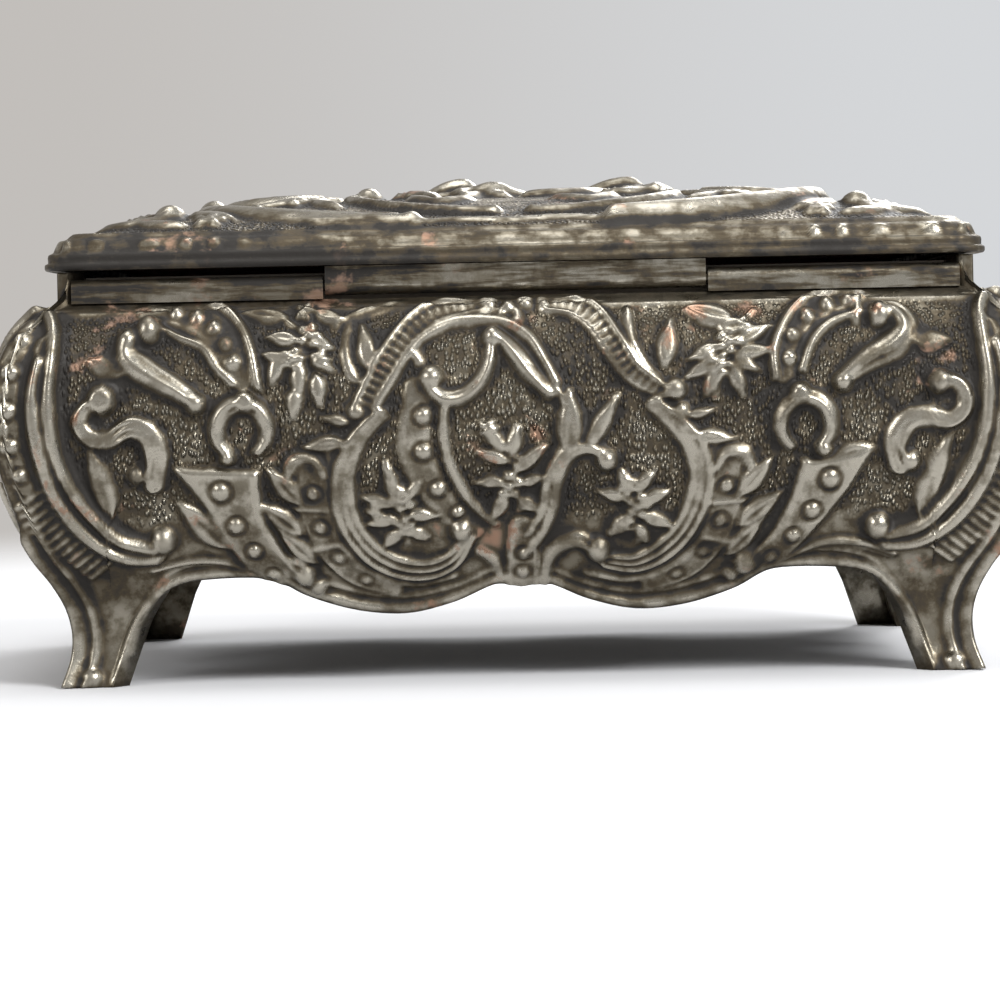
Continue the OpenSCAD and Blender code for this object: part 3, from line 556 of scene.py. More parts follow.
def right_field(relief):
    """Scrolls, ring, strap and flowers between the middle and the viewer's right corner."""
    s = relief.stroke
    s([(28.9, 33.4), (29.1, 36.4), (31, 39.4), (34.2, 41.1), (37.6, 41.4)],
      (2.4, 3.4, 3.6, 2.6), 0.45, "strap", 10)
    s([(28, 33), (27.9, 35.9), (29.3, 38.9), (31.8, 41.2), (35.2, 42.2), (38, 42.2)],
      (1.1, 1.3, 1.2, 0.9), 1.15, "round", 10)
    s([(31, 33.8), (32.2, 36.8), (34.4, 38.7), (37.8, 39.6)], (0.9, 1.2, 0.9), 0.9, "round", 10)
    s([(37, 39), (37.8, 41.8)], (1.4, 1.2), 1.1)
    for u, z in (29.6, 35), (30, 37.4), (31.7, 39.4), (34, 40.6), (36.4, 41):
        relief.balls((u, z, 1.8, 1.05))
    s([(39.4, 39.6), (41.4, 39.4), (42.3, 37.8), (40.8, 36), (38, 34.6), (35.2, 32.6)],
      (2.2, 3.1, 3.4, 2.8, 2.0), 1.4, "lined", 10)
    relief.balls((39.6, 39.3, 2.8, 1.8), (35.3, 32.4, 2.4, 1.5), (45.8, 32.2, 2.8, 1.6),
                 (42.6, 23.7, 2.4, 1.2), (30.6, 31.2, 2.6, 1.6), (33.2, 25.2, 1.9, 1.4))
    s([(45.8, 32.6), (47.9, 31.6), (48.5, 29.6), (46.9, 28.1), (44.4, 28.6), (42.2, 28),
       (40.9, 25.6), (41.3, 23.2)], (1.7, 2.0, 2.2, 2.6, 2.8, 2.4), 1.3, "triple_other", 10)
    relief.leaves((((43, 36.4), (47.4, 36.7), 2.4), ((43.6, 17.8), (46.9, 26.6), 2.8),
                   ((38, 25.4), (33.6, 24.2), 1.6)), 0.7)
    ring_scroll(relief, (31.2, 27.9), -1)
    relief.plate([(31.4, 24), (34, 24.4), (38.7, 25.3), (35.9, 20.6), (32.5, 16.4), (29, 12.8),
                  (26.2, 12), (25.3, 13.8), (28, 16.3), (30, 19.9)], 0.8)
    s([(31.2, 23.8), (29.9, 19.8), (28, 16.2), (25.6, 13.9)], (0.9, 1.0, 0.8), 0.9, "round", 10)
    relief.rings((((33.8, 22), 2.2), ((31.9, 18.6), 1.9), ((29.9, 15.9), 1.6),
                  ((27.5, 13.7), 1.3)), 0.5)
    relief.balls((24.7, 12.9, 2.9, 1.7), (23.2, 11.6, 2.0, 1.1))
    s([(29, 13), (33.2, 14.6), (37.4, 14.5), (41, 13.4)], (0.9, 1.7, 1.4), 0.7, "swept", 8)
    s([(26, 40.4), (23.8, 38), (22.4, 34.8), (21.4, 31)], (0.6, 0.7, 0.5), 0.5)
    relief.leaves((((23.8, 39), (18, 40.5), 2.7), ((22, 38.2), (26.4, 38.2), 2.0),
                   ((23.4, 36.4), (27.9, 38.6), 1.9), ((23.8, 35.6), (28, 35.9), 1.9),
                   ((22, 36.4), (18.6, 35), 1.9), ((21.6, 34.8), (18, 33), 1.8),
                   ((22.2, 34.8), (20.2, 30.8), 2.0), ((23.2, 34.6), (24.6, 30.8), 2.0),
                   ((23.4, 35.2), (26.4, 33.6), 1.8)), 1.0)
    for centre, size in (((22.9, 36.8), 2.9), ((22, 34.4), 2.7), ((24.6, 38.4), 2.2),
                         ((20.4, 35.6), 2.0)):
        relief.bloom(centre, size, 1.15)


def end_ornament(relief):
    """Relief of an end wall, seen from outside, alike on both halves."""
    s = relief.stroke
    for side, _ in relief.sides((-1, 1), (1, 1)):
        s([(2, 41.2), (5.8, 40.4), (8.6, 37), (10.2, 32.6)], (2.4, 2.8, 1.8), 1.2,
          "ribbed_other" if side < 0 else "ribbed", 10)
        s([(0.6, 36.2), (3.6, 34.4), (5.6, 30.6), (5.4, 25.8), (3.4, 21.2), (0.8, 17.2)],
          (1.4, 2.0, 1.4), 1.2, "lined", 10)
        s([(7.4, 31.8), (10.2, 28), (11, 23), (9.6, 17.8), (6.4, 14.4), (3.2, 13.6)],
          (1.6, 2.8, 1.6), 1.2, "triple", 10)
        s([(20.4, 41.4), (16.4, 41.4), (13.4, 39.4), (11.8, 35)], (2.2, 3.0, 1.2), 1.0,
          "strap", 10)
        for u, z in (19.4, 41), (17, 40.8), (14.8, 39.6), (13.4, 37.6), (12.4, 35.6):
            relief.balls((u, z, 1.7, 1.0))
        s([(22.6, 38.2), (21.8, 36), (19.6, 34), (16, 31.6)], (1.6, 2.3, 1.4), 1.3, "lined", 10)
        s([(27, 30.8), (28, 29), (26.8, 27.4), (24.6, 27.4), (22.4, 28), (20.4, 27),
           (19.8, 24.8), (20.8, 23)], (1.5, 2.3, 1.5), 1.3, "lined", 10)
        ring = [(15 + 2.5 * math.cos(math.radians(a)), 26.8 + 2.7 * math.sin(math.radians(a)))
                for a in range(-70, 250, 32)]
        s(ring, (1.4, 1.9, 1.4), 1.2, "lined", 8)
        relief.balls((3.2, 14.8, 2.4, 1.4), (6.6, 32.4, 2.4, 1.4), (21.2, 39.2, 2.8, 1.6),
                     (15.8, 31.6, 2.1, 1.3), (25.8, 31.8, 2.6, 1.6), (22, 24, 1.8, 1.2),
                     (15, 29.8, 2.2, 1.4))
        s([(17.4, 24.2), (15.6, 20.4), (13, 16.2), (9.8, 13)], (4.2, 3.2, 1.6), 0.75,
          "strap", 10)
        relief.rings((((16, 21.6), 2.0), ((14.4, 18.4), 1.7), ((12, 15), 1.4)), 0.45)
        relief.balls((9.2, 12.6, 2.5, 1.5))
        relief.leaf((18.6, 17.4), (19.8, 22), 2.2, 0.7)
        relief.leaf((23, 18), (26.8, 25), 2.4, 0.8)
        for k, centre in enumerate(((12.6, 33.2), (14.8, 36.2), (8.2, 25.6), (7.8, 19.4))):
            relief.bloom(centre, 2.6, 0.9, 0.7 * k)
        relief.leaves((((12, 32), (13.8, 30), 1.5), ((14, 35), (17.4, 36.6), 1.5),
                       ((8, 24), (8.8, 21), 1.5), ((2, 32), (3.6, 28.4), 1.5)), 0.8)
        relief.leaves((((0, 21), (2.6, 19.6), 1.2), ((0, 23), (3.2, 27.6), 1.2)), 0.6)
    for k in range(5):
        a = math.radians(198 + 36 * k)
        relief.leaf((0, 41.8), (3 * math.cos(a), 41.6 + 2.6 * math.sin(a)), 1.3, 0.9)
    s([(0, 18), (0.4, 22), (-0.3, 27)], 0.6, 0.5)
    for k, centre in enumerate(((0, 28), (1.8, 25), (-1.9, 24), (0.2, 31), (0, 20.6))):
        relief.bloom(centre, 2.6, 0.85, 0.5 * k)
    s([(0, 16.6), (0, 11.6)], (2.6, 3.2, 3.4), 0.8, "strap")
    relief.rings((((0, 15.6), 1.6), ((0, 12.4), 1.6)), 0.45)


def blurred(field, reach, rounds=3):
    """A field on a grid, softened by repeated running means."""
    for _ in range(rounds):
        for axis in (0, 1):
            padded = np.concatenate([np.repeat(field.take([0], axis), reach, axis), field,
                                     np.repeat(field.take([-1], axis), reach, axis)], axis)
            sums = np.cumsum(padded, axis)
            zero = np.zeros_like(sums.take([0], axis))
            sums = np.concatenate([zero, sums], axis)
            width = 2 * reach + 1
            count = field.shape[axis]
            field = (sums.take(range(width, width + count), axis)
                     - sums.take(range(count), axis)) / width
    return field


def grid_shell(columns, rows):
    """A square grid and the order of its vertices by row and column."""
    shell = bmesh.new()
    bmesh.ops.create_grid(shell, x_segments=columns, y_segments=rows, size=1.0)
    verts = np.array([v.co for v in shell.verts])
    across = np.rint((verts[:, 0] + 1) / 2 * columns).astype(int)
    up = np.rint((verts[:, 1] + 1) / 2 * rows).astype(int)
    return shell, across, up


def place(shell, points):
    """Puts each vertex of a bmesh at a point given in millimetres."""
    for vert, point in zip(shell.verts, points * MM):
        vert.co = point


def by_vertex(order, values):
    """The values of a grid's points, row by row, in the order of its vertices."""
    flat = np.empty(len(order))
    flat[order] = values.ravel()
    return flat


def add_back(outer, inner, name):
    """Adds a coarse inner shell to a fine one, after cutting its border as finely."""
    bmesh.ops.subdivide_edges(inner, edges=[e for e in inner.edges if e.is_boundary],
                              cuts=COARSE - 1)
    backing = bpy.data.meshes.new(name)
    inner.to_mesh(backing)
    inner.free()
    outer.from_mesh(backing)
    bpy.data.meshes.remove(backing)


def write_mask(mesh, name, values):
    """Stores one number for each vertex under a name that a material can read."""
    layer = mesh.attributes.new(name, "FLOAT", "POINT")
    filled = np.zeros(len(mesh.vertices), np.float32)
    filled[:len(values)] = values
    layer.data.foreach_set("value", filled)


def cast_object(name, shell, masks, material):
    """Makes a piece of cast metal from a bmesh whose first vertices carry the masks."""
    mesh = bpy.data.meshes.new(name)
    shell.to_mesh(mesh)
    shell.free()
    for key, values in masks.items():
        write_mask(mesh, key, values)
    mesh.materials.append(material)
    mesh.polygons.foreach_set("use_smooth", [True] * len(mesh.polygons))
    mesh.update()
    piece = bpy.data.objects.new(name, mesh)
    bpy.context.scene.collection.objects.link(piece)
    return piece


# Columns and rows of a fine outer shell for each of its plain inner shell
COARSE = 4
# Share of the blurred relief that is added as a soft swelling round the ornament
SWELL = 0.2
# How far the pebbled ground lies below the smooth section
GROUND_SINK = 0.18
PIN_Y = (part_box("hinge_pin")[0].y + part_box("hinge_pin")[1].y) / 2 / MM
PIN_Z = (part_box("hinge_pin")[0].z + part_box("hinge_pin")[1].z) / 2 / MM
# Furthest that the lid opens
OPEN_TURN = math.radians(95)


def clear_of_lid(lift, reach, z, out, up):
    """Lowers relief that the rim of the open lid would touch."""
    turn_out, turn_down = math.cos(OPEN_TURN), math.sin(OPEN_TURN)
    line = np.array(RIM_LINE)
    for _ in range(12):
        away, rise = reach + lift * out - PIN_Y, z + lift * up - PIN_Z
        closed_y = away * turn_out - rise * turn_down + PIN_Y
        closed_z = away * turn_down + rise * turn_out + PIN_Z
        rim = RIM_HIGH.y - np.interp(closed_z, line[:, 1], line[:, 0])
        touches = (closed_y < rim + 0.25) & (closed_z > RIM_LOW.z - 0.2) & (rise < 0)
        lift = np.where(touches & (lift > -GROUND_SINK), lift - 0.12, lift)
    return lift


def wall_points(half, notch, s, t):
    """Places for shares s along and t up a wall's smooth face, and its normals there."""
    top = np.where(np.abs(s) * half < notch, SHOULDER, NECK_TOP)
    z = np.full_like(s, 20.0)
    for _ in range(6):
        x = s * (half + stand_out(z))
        low = run_at(lower_at(x, half))
        z = height_at(low + t * (run_at(top) - low))
    out, up = section_normal(z)
    return s * (half + stand_out(z)), z, out, up


def wall_field(relief, half, ornament):
    """The finished height of a wall's relief, and how much of the ground is pebbled."""
    ornament(relief)
    for _ in relief.sides((1, 1), (-1, 1)):
        corner_dress(relief, half)
    edge_dress(relief, half)
    u, z = np.abs(relief.u), relief.z
    field = relief.height * np.clip((SHOULDER - 0.2 - z) / 0.9, 0, 1)
    to_mitre = half + stand_out(z) - u
    field = field * np.clip(np.maximum(to_mitre / 0.7, (LEG_TOP - z) / 3), 0, 1)
    field = 0.95 * blurred(field, 1, 1) + SWELL * blurred(field, 5, 2)
    ground = np.clip(1 - field / 0.12, 0, 1) * np.clip((z - 15) / 2, 0, 1)
    inside_scroll = np.clip((half + 0.6 + stand_out(z) * 0.1 - u) / 1.5, 0, 1)
    knee = np.clip((z - 17) / 3, 0, 1)
    return field, ground * inside_scroll * knee * np.clip((41.3 - z) / 0.8, 0, 1)


def masks_of(order, field, high, stipple, band=0):
    """Masks for the patina: raised parts, hollows beside them, their edges and the ground. The
    hollow mask also takes band, the painted shade that the lid lays on its rim bands.
    """
    hollow = np.clip((blurred(field, 2) - field) / 0.22, 0, 1)
    masks = {"raised": np.clip(field / high, 0, 1), "hollow": np.maximum(hollow, band),
             "edge": np.clip((field - blurred(field, 3)) / 0.16, 0, 1), "stipple": stipple}
    return {key: by_vertex(order, values) for key, values in masks.items()}


def wall_piece(name, half, depth, ornament, turn, notch, columns, rows, material):
    """One cast wall: a fine outer skin with relief, joined to a plain inner skin."""
    shares = np.linspace(-1, 1, columns + 1)
    outer, across, rise = grid_shell(columns, rows)
    s = shares[across]
    x, z, out, up = wall_points(half, notch, s, rise / rows)
    order = np.lexsort((across, rise))
    shape = (rows + 1, columns + 1)
    relief = Relief(x[order].reshape(shape), z[order].reshape(shape))
    field, stipple = wall_field(relief, half, ornament)
    lift = by_vertex(order, field - GROUND_SINK * stipple)
    if notch:
        lift = clear_of_lid(lift, depth + stand_out(z), z, out, up)
    near_end = np.clip((np.abs(s) - 0.93) / 0.07, 0, 1)**2
    x = np.clip(x + np.sign(s) * near_end * lift * out, -half - WIDEST, half + WIDEST)
    away = np.minimum(stand_out(z) + lift * out, WIDEST)
    place(outer, np.column_stack([x, -(depth + away), np.maximum(z + lift * up, 0)]))

    inner, across, rise = grid_shell(columns // COARSE, rows // COARSE)
    s = shares[across * COARSE]
    x, z, out, up = wall_points(half, notch, s, rise / (rows // COARSE))
    inward = x - s * WALL * out
    deep = z - WALL * up * np.clip(z / 6, 0, 1) * np.clip((NECK_TOP - z) / 4, 0, 1)
    place(inner, np.column_stack([inward, -(depth + stand_out(z) - WALL * out), deep]))
    bmesh.ops.reverse_faces(outer, faces=outer.faces)
    add_back(outer, inner, name + "_back")
    bmesh.ops.bridge_loops(outer, edges=[e for e in outer.edges if e.is_boundary])
    outer.normal_update()
    bmesh.ops.rotate(outer, verts=outer.verts, cent=(0, 0, 0),
                     matrix=Matrix.Rotation(math.radians(turn), 3, "Z"))
    bmesh.ops.recalc_face_normals(outer, faces=outer.faces)
    return cast_object(name, outer, masks_of(order, field, 1.4, stipple), material)


# Materials

def node_group(name, inputs, outputs):
    """An empty shader node group with named sockets."""
    group = bpy.data.node_groups.new(name, "ShaderNodeTree")
    for label, kind, value in inputs:
        socket = group.interface.new_socket(label, in_out="INPUT", socket_type=kind)
        socket.default_value = value
    for label, kind in outputs:
        group.interface.new_socket(label, in_out="OUTPUT", socket_type=kind)
    return group


class Wiring:
    """Short ways to add and join nodes in one tree."""

    def __init__(self, tree):
        self.tree = tree

    def add(self, kind, **settings):
        node = self.tree.nodes.new(kind)
        for key, value in settings.items():
            setattr(node, key, value)
        return node

    def join(self, source, target):
        self.tree.links.new(source, target)

    def put(self, socket, value):
        if isinstance(value, bpy.types.NodeSocket):
            self.join(value, socket)
        else:
            socket.default_value = value

    def sum(self, operation, a, b=0.0, c=0.0, clamp=False):
        node = self.add("ShaderNodeMath", operation=operation, use_clamp=clamp)
        for socket, value in zip(node.inputs, (a, b, c)):
            self.put(socket, value)
        return node.outputs[0]

    def spread(self, value, low, high, start=0.0, end=1.0):
        node = self.add("ShaderNodeMapRange", interpolation_type="SMOOTHSTEP")
        for label, number in (("Value", value), ("From Min", low), ("From Max", high),
                              ("To Min", start), ("To Max", end)):
            self.put(node.inputs[label], number)
        return node.outputs["Result"]

    def blend(self, share, a, b):
        node = self.add("ShaderNodeMix", data_type="RGBA")
        for index, value in zip((0, 6, 7), (share, a, b)):
            self.put(node.inputs[index], value)
        return node.outputs[2]

    def noise(self, place, scale, detail=4.0, rough=0.55):
        node = self.add("ShaderNodeTexNoise")
        self.put(node.inputs["Vector"], place)
        node.inputs["Scale"].default_value = scale
        node.inputs["Detail"].default_value = detail
        node.inputs["Roughness"].default_value = rough
        return node.outputs["Fac"]

    def spot(self):
        return self.add("ShaderNodeTexCoord").outputs["Object"]

    def scaled(self, place, factors):
        node = self.add("ShaderNodeVectorMath", operation="MULTIPLY")
        self.join(place, node.inputs[0])
        node.inputs[1].default_value = factors
        return node.outputs[0]

    def bump(self, height, distance, shader):
        node = self.add("ShaderNodeBump")
        node.inputs["Distance"].default_value = distance
        self.join(height, node.inputs["Height"])
        self.join(node.outputs["Normal"], shader.inputs["Normal"])


def rgba(color):
    return (*color[:3], 1.0)


def new_material(name):
    """A material, the wiring of its tree and its shader."""
    material = bpy.data.materials.new(name)
    material.use_nodes = True
    tree = material.node_tree
    return material, Wiring(tree), tree.nodes["Principled BSDF"]


def patina_group(sizes):
    """Silver finish: bright on worn ridges, brown and black in the hollows, copper in patches. The
    Hollow input also carries the painted shade on the lid's rim bands.
    """
    group = node_group("patina", [
        ("Raised", "NodeSocketFloat", 0.0), ("Hollow", "NodeSocketFloat", 0.0),
        ("Edge", "NodeSocketFloat", 0.0), ("Stipple", "NodeSocketFloat", 0.0),
        ("Tarnish", "NodeSocketFloat", 0.5), ("Wear", "NodeSocketFloat", 0.5),
        ("Streaks", "NodeSocketFloat", 0.0),
    ], [("Color", "NodeSocketColor"), ("Roughness", "NodeSocketFloat"),
        ("Metallic", "NodeSocketFloat"), ("Height", "NodeSocketFloat")])
    w = Wiring(group)
    given = w.add("NodeGroupInput").outputs
    out = w.add("NodeGroupOutput").inputs
    spot = w.spot()
    patches = w.noise(spot, 75.0, 3.0)
    mottle = w.noise(spot, 420.0, 4.0, 0.6)
    pits = w.noise(spot, 2600.0, 3.0, 0.6)
    grain = w.add("ShaderNodeTexVoronoi")
    w.join(w.scaled(spot, (1.0, 1.0, 0.55)), grain.inputs["Vector"])
    grain.inputs["Scale"].default_value = 2300.0
    pebble = w.spread(grain.outputs["Distance"], 0.05, 0.7, 1.0, 0.0)
    along = w.scaled(spot, (0.16, 1.0, 1.5))
    streaks = w.spread(w.noise(along, 700.0, 4.0, 0.6), 0.36, 0.64, -0.35, 0.45)

    # dirt holds tarnish, patina in the hollows and streaks, and also painted shade: on the lid's
    # rim bands through Hollow, and the lid's extra darkening through Tarnish
    dirt = w.sum("MULTIPLY", given["Hollow"], 0.75)
    dirt = w.sum("ADD", dirt, w.sum("MULTIPLY", given["Streaks"], streaks))
    dirt = w.sum("ADD", dirt, w.spread(patches, 0.40, 0.66, -0.12, 0.3))
    dirt = w.sum("ADD", dirt, w.spread(mottle, 0.36, 0.68, -0.16, 0.26))
    dirt = w.sum("ADD", dirt, given["Tarnish"])
    worn = w.sum("MULTIPLY", given["Edge"], given["Wear"])
    dirt = w.sum("SUBTRACT", dirt, w.sum("MULTIPLY", worn, 0.34))
    dirt = w.sum("SUBTRACT", dirt, w.sum("MULTIPLY", given["Raised"], 0.12))
    gaps = w.sum("MULTIPLY", given["Stipple"], w.sum("SUBTRACT", 0.3, pebble))
    dirt = w.sum("ADD", dirt, w.sum("MULTIPLY", gaps, 0.8), clamp=True)

    ramp = w.add("ShaderNodeValToRGB")
    w.join(dirt, ramp.inputs[0])
    stops = ramp.color_ramp.elements
    stops[0].position, stops[0].color = 0.0, rgba(sizes.silver)
    stops[1].position, stops[1].color = 1.0, rgba(sizes.grime)
    middle = stops.new(0.34)
    middle.color = rgba(sizes.dull)
    brown = stops.new(0.66)
    brown.color = rgba(sizes.brown)
    copper_spot = w.sum("MULTIPLY", w.spread(w.noise(spot, 130.0, 5.0, 0.65), 0.60, 0.68),
                        w.spread(given["Hollow"], 0.05, 0.5, 1.0, 0.0))
    copper_spot = w.sum("MULTIPLY", copper_spot, given["Wear"], clamp=True)
    w.join(w.blend(copper_spot, ramp.outputs[0], rgba(sizes.copper)), out["Color"])
    rough = w.spread(dirt, 0.0, 0.9, 0.3, 0.6)
    w.join(w.sum("ADD", rough, w.spread(mottle, 0.35, 0.7, -0.05, 0.1), clamp=True),
           out["Roughness"])
    w.join(w.spread(dirt, 0.55, 1.0, 1.0, 0.35), out["Metallic"])
    height = w.sum("MULTIPLY", given["Stipple"], w.sum("MULTIPLY", pebble, 3.0))
    height = w.sum("ADD", height, w.sum("MULTIPLY", pits, 0.2))
    w.join(w.sum("ADD", height, w.sum("MULTIPLY", mottle, 0.5)), out["Height"])
    return group


def silver_material(name, group, tarnish, wear, masked, streaks):
    """A patinated metal, with the relief masks where the piece carries them."""
    material, w, shader = new_material(name)
    patina = w.add("ShaderNodeGroup", node_tree=group)
    patina.inputs["Tarnish"].default_value = tarnish
    patina.inputs["Wear"].default_value = wear
    patina.inputs["Streaks"].default_value = streaks
    if masked:
        for label in ("Raised", "Hollow", "Edge", "Stipple"):
            mask = w.add("ShaderNodeAttribute", attribute_name=label.lower())
            w.join(mask.outputs["Fac"], patina.inputs[label])
    w.join(patina.outputs["Color"], shader.inputs["Base Color"])
    w.join(patina.outputs["Roughness"], shader.inputs["Roughness"])
    w.join(patina.outputs["Metallic"], shader.inputs["Metallic"])
    w.bump(patina.outputs["Height"], 0.00016, shader)
    return material


def velvet_material(sizes):
    """Short pile velvet, with brushed patches."""
    material, w, shader = new_material("red_velvet")
    spot = w.spot()
    brushed = w.noise(spot, 90.0, 3.0)
    pile = w.noise(spot, 5200.0, 2.0)
    dark, light = (rgba([c * share for c in sizes.velvet]) for share in (0.45, 1.35))
    tone = w.blend(w.spread(brushed, 0.35, 0.68), dark, rgba(sizes.velvet))
    tone = w.blend(w.spread(pile, 0.35, 0.7, 0.0, 0.5), tone, light)
    w.join(tone, shader.inputs["Base Color"])
    shader.inputs["Roughness"].default_value = 0.85
    shader.inputs["Sheen Weight"].default_value = 0.35
    shader.inputs["Sheen Roughness"].default_value = 0.4
    shader.inputs["Sheen Tint"].default_value = (1.0, 0.55, 0.55, 1.0)
    w.bump(w.sum("ADD", pile, w.sum("MULTIPLY", brushed, 0.5)), 0.00012, shader)
    return material


def board_material():
    """Grey lining board."""
    material, w, shader = new_material("grey_board")
    fibres = w.noise(w.spot(), 1500.0, 5.0, 0.7)
    tone = w.blend(fibres, (0.14, 0.12, 0.1, 1), (0.22, 0.19, 0.155, 1))
    w.join(tone, shader.inputs["Base Color"])
    shader.inputs["Roughness"].default_value = 0.9
    w.bump(fibres, 0.00005, shader)
    return material


def dress(node, material):
    """Gives a CAD node a material."""
    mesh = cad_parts[node].data
    mesh.materials.clear()
    mesh.materials.append(material)


# Lid

RIM_Z = RIM_LOW.z
RIM_X, RIM_Y = RIM_HIGH.x, RIM_HIGH.y
RIM_R = 4.5
LID_TOP = RIM_HIGH.z
DOME_Z = 50.0
DOME_H = 4.6
# Rim section from the underside inwards: distance in from the rim, and height
RIM_LINE = ((0.25, 46.3), (0.06, 46.4), (0, 46.55), (0, 46.9), (0.1, 47.08), (0.3, 47.12),
            (0.38, 47.2), (0.34, 47.8), (0.42, 48.08), (0.7, 48.2), (0.9, 48.22), (1.05, 48.5),
            (1.35, 49.0), (1.75, 49.45), (2.1, 49.75), (2.3, 49.8), (2.45, 49.9), (2.7, 50.15),
            (3.1, 50.45))
# Columns and rows of the lid's grid, and the share of it that lies inside the rim
LID_COLUMNS, LID_ROWS = 360, 228
RIM_SHARE = 0.82
# Underside in the same way: ledge and recess, the share inside them, and the roof over them
UNDER_LINE = ((0.25, RIM_Z), (1.2, RIM_Z), (3.9, RIM_Z), (4.0, RIM_Z + 0.1),
              (4.0, 47.8), (4.1, 47.85), (5.4, 47.85), (5.5, 47.9), (5.6, 48.9))
UNDER_SHARE, LEDGE_SHARE = 0.68, 0.32
LID_THICK = 1.5
ROOF_LOW, ROOF_HIGH = 48.9, 52.9


def rounded(x, y, inset):
    """A point of a unit square's edge, put on the rim's outline moved inwards."""
    a, b, r = RIM_X - inset, RIM_Y - inset, np.maximum(RIM_R - inset * 0.6, 1.5)
    px, py = x * a, y * b
    cx, cy = a - r, b - r
    dx, dy = np.abs(px) - cx, np.abs(py) - cy
    corner = (dx > 0) & (dy > 0)
    size = np.maximum(np.hypot(dx, dy), 1e-6)
    px = np.where(corner, np.sign(px) * (cx + dx / size * r), px)
    py = np.where(corner, np.sign(py) * (cy + dy / size * r), py)
    return px, py


def dome_rise(x, y):
    """Height of the smooth dome."""
    edge = RIM_LINE[-1]
    a, b = RIM_X - edge[0], RIM_Y - edge[0]
    far = np.minimum((np.abs(x / a)**8 + np.abs(y / b)**8)**(1 / 8), 1)
    return edge[1] + (DOME_Z + DOME_H - edge[1]) * (1 - far**2.6)


def rose_petal(relief, centre, reach, high):
    """A folded petal: a peak with its own reach towards +x, -x and sideways."""
    du, dv = relief.u - centre[0], relief.z - centre[1]
    gap = np.hypot(du / np.where(du > 0, reach[0], reach[1]), dv / reach[2])
    inside = gap < 1
    gap = gap[inside]
    turn = np.arctan2(dv[inside], du[inside])
    fold = (0.5 + 0.5 * np.cos(3 * turn + 7 * gap))**3 * np.clip(gap / 0.25 - 0.6, 0, 1)
    relief.raise_to(inside, high * np.cos(gap * math.pi / 2)**1.1 * (1 - 0.2 * fold))


def rose(relief, centre, turn):
    """Two rings of petals round a rose's middle."""
    for petals, reach, wide, high in ((7, 6.6, 3.7, 1.15), (5, 4.2, 3.0, 1.8)):
        for k in range(petals):
            a = turn * petals + 2 * math.pi * k / petals
            tip = (centre[0] + reach * math.cos(a), centre[1] + reach * math.sin(a))
            relief.leaf(centre, tip, wide, high, 0.4)


def lid_ornament(relief):
    """Relief of the lid, seen from above."""
    s = relief.stroke
    for across, up in relief.sides((-1, -1), (-1, 1), (1, -1), (1, 1)):
        turn = "" if across == up else "_other"
        plain = across > 0 and up > 0
        s([(11, 28.6), (20.4, 27.2), (28.6, 24.2), (34.4, 19), (35, 14)],
          (2.6, 4.4, 4.8, 4.2, 2.8), 1.0 if plain else 1.75, "round", 12)
        s([(13, 25.8), (20.4, 24.6), (27, 21.8), (31.6, 17.4)], (0.9, 1.0, 0.9), 0.9, "rope", 12)
        s([(2.2, 24.6), (8.6, 23.6), (14.8, 20), (18.2, 14.8), (17.2, 10.6)],
          (2.0, 3.2, 3.0, 2.0), 1.45, "ribbed" + turn, 10)
        s([(45.2, 2.4), (45.4, 11), (42.8, 17.4), (39.2, 22)], (1.8, 2.8, 1.8), 1.4,
          "double", 10)
        s([(22.4, 8.4), (27.4, 12), (32.4, 11), (33.8, 6.4)], (1.8, 2.8, 1.8), 1.5, "lined", 10)
        s([(20.4, 2.8), (24.6, 5.4), (29, 4.4)], (1.3, 2.2, 1.4), 1.4, "lined", 10)
        s([(0, 28.8), (6, 28.2), (10.6, 29)], (1.2, 1.6, 1.0), 0.8, "swept", 8)
        for u, v, size in ((16.8, 10.2, 3.0), (34.8, 13.2, 3.2), (33.8, 5.6, 2.6), (29.4, 4, 2.6),
                           (39, 22.4, 3.4), (45, 3, 2.8), (11.4, 28.4, 2.4)):
            relief.balls((u, v, size * 1.15, size * 0.55))
        relief.leaves((((21, 14.6), (30, 19.8), 3.4), ((23, 17), (19.4, 21.4), 2.6),
                       ((38, 9.6), (41.6, 19.2), 3.4), ((38.6, 24.6), (47, 24.6), 3.6),
                       ((40, 16), (37.6, 11), 2.4), ((36.6, 22), (31, 26.6), 3.0),
                       ((24, 27.4), (19, 29.2), 2.4), ((42, 26.4), (36, 28.4), 2.6),
                       ((9, 19), (4, 15.6), 2.4), ((26, 9), (30, 7.4), 2.2),
                       ((12, 14), (8.6, 19.6), 2.8), ((45, 18), (47.6, 12.6), 2.4)), 0.9, 0.15)
        for k, centre in enumerate(((42.4, 20.8), (25.4, 17.4), (40.2, 6.8), (12, 10.4),
                                    (34, 27))):
            relief.bloom(centre, 3.8, 1.15, 0.5 * k)
    for lead, wide in (
            (((1, -4.4), (-3, -8), (-9, -9.4)), 3.0),
            (((9, -4.4), (13.4, -7.4), (15.6, -12.6)), 3.0),
            (((-12, 5.2), (-7.4, 9), (-1, 10)), 3.0), (((8.8, 6), (11, 10.4), (8.6, 15.4)), 3.0),
            (((-20.6, -5), (-22.6, -9.6), (-19.4, -14.4)), 3.0),
            (((-19, 5), (-16.4, 9.6), (-11, 12.4)), 3.0),
            (((-5.6, 3.4), (-4.4, 0), (-6.2, -3.6)), 2.4),
            (((-9.4, -8), (-12, -13), (-7.6, -17.6)), 3.0)):
        s(lead, (1.0, wide, wide, 0.6), 1.1, "round", 10)
    rose(relief, (4.6, 0.6), 0.2)
    rose(relief, (-14.6, 0.2), 0.5)
    for centre, reach, high in (((6, 0), (6.4, 4.2, 2.3), 2.75), ((2.4, 2.2), (4.4, 5.8, 2.1), 2.2),
                                ((-14.2, -0.4), (8.2, 3.6, 2.3), 2.75),
                                ((-17.2, 1.8), (4, 5.2, 2.1), 1.9)):
        rose_petal(relief, centre, reach, high)


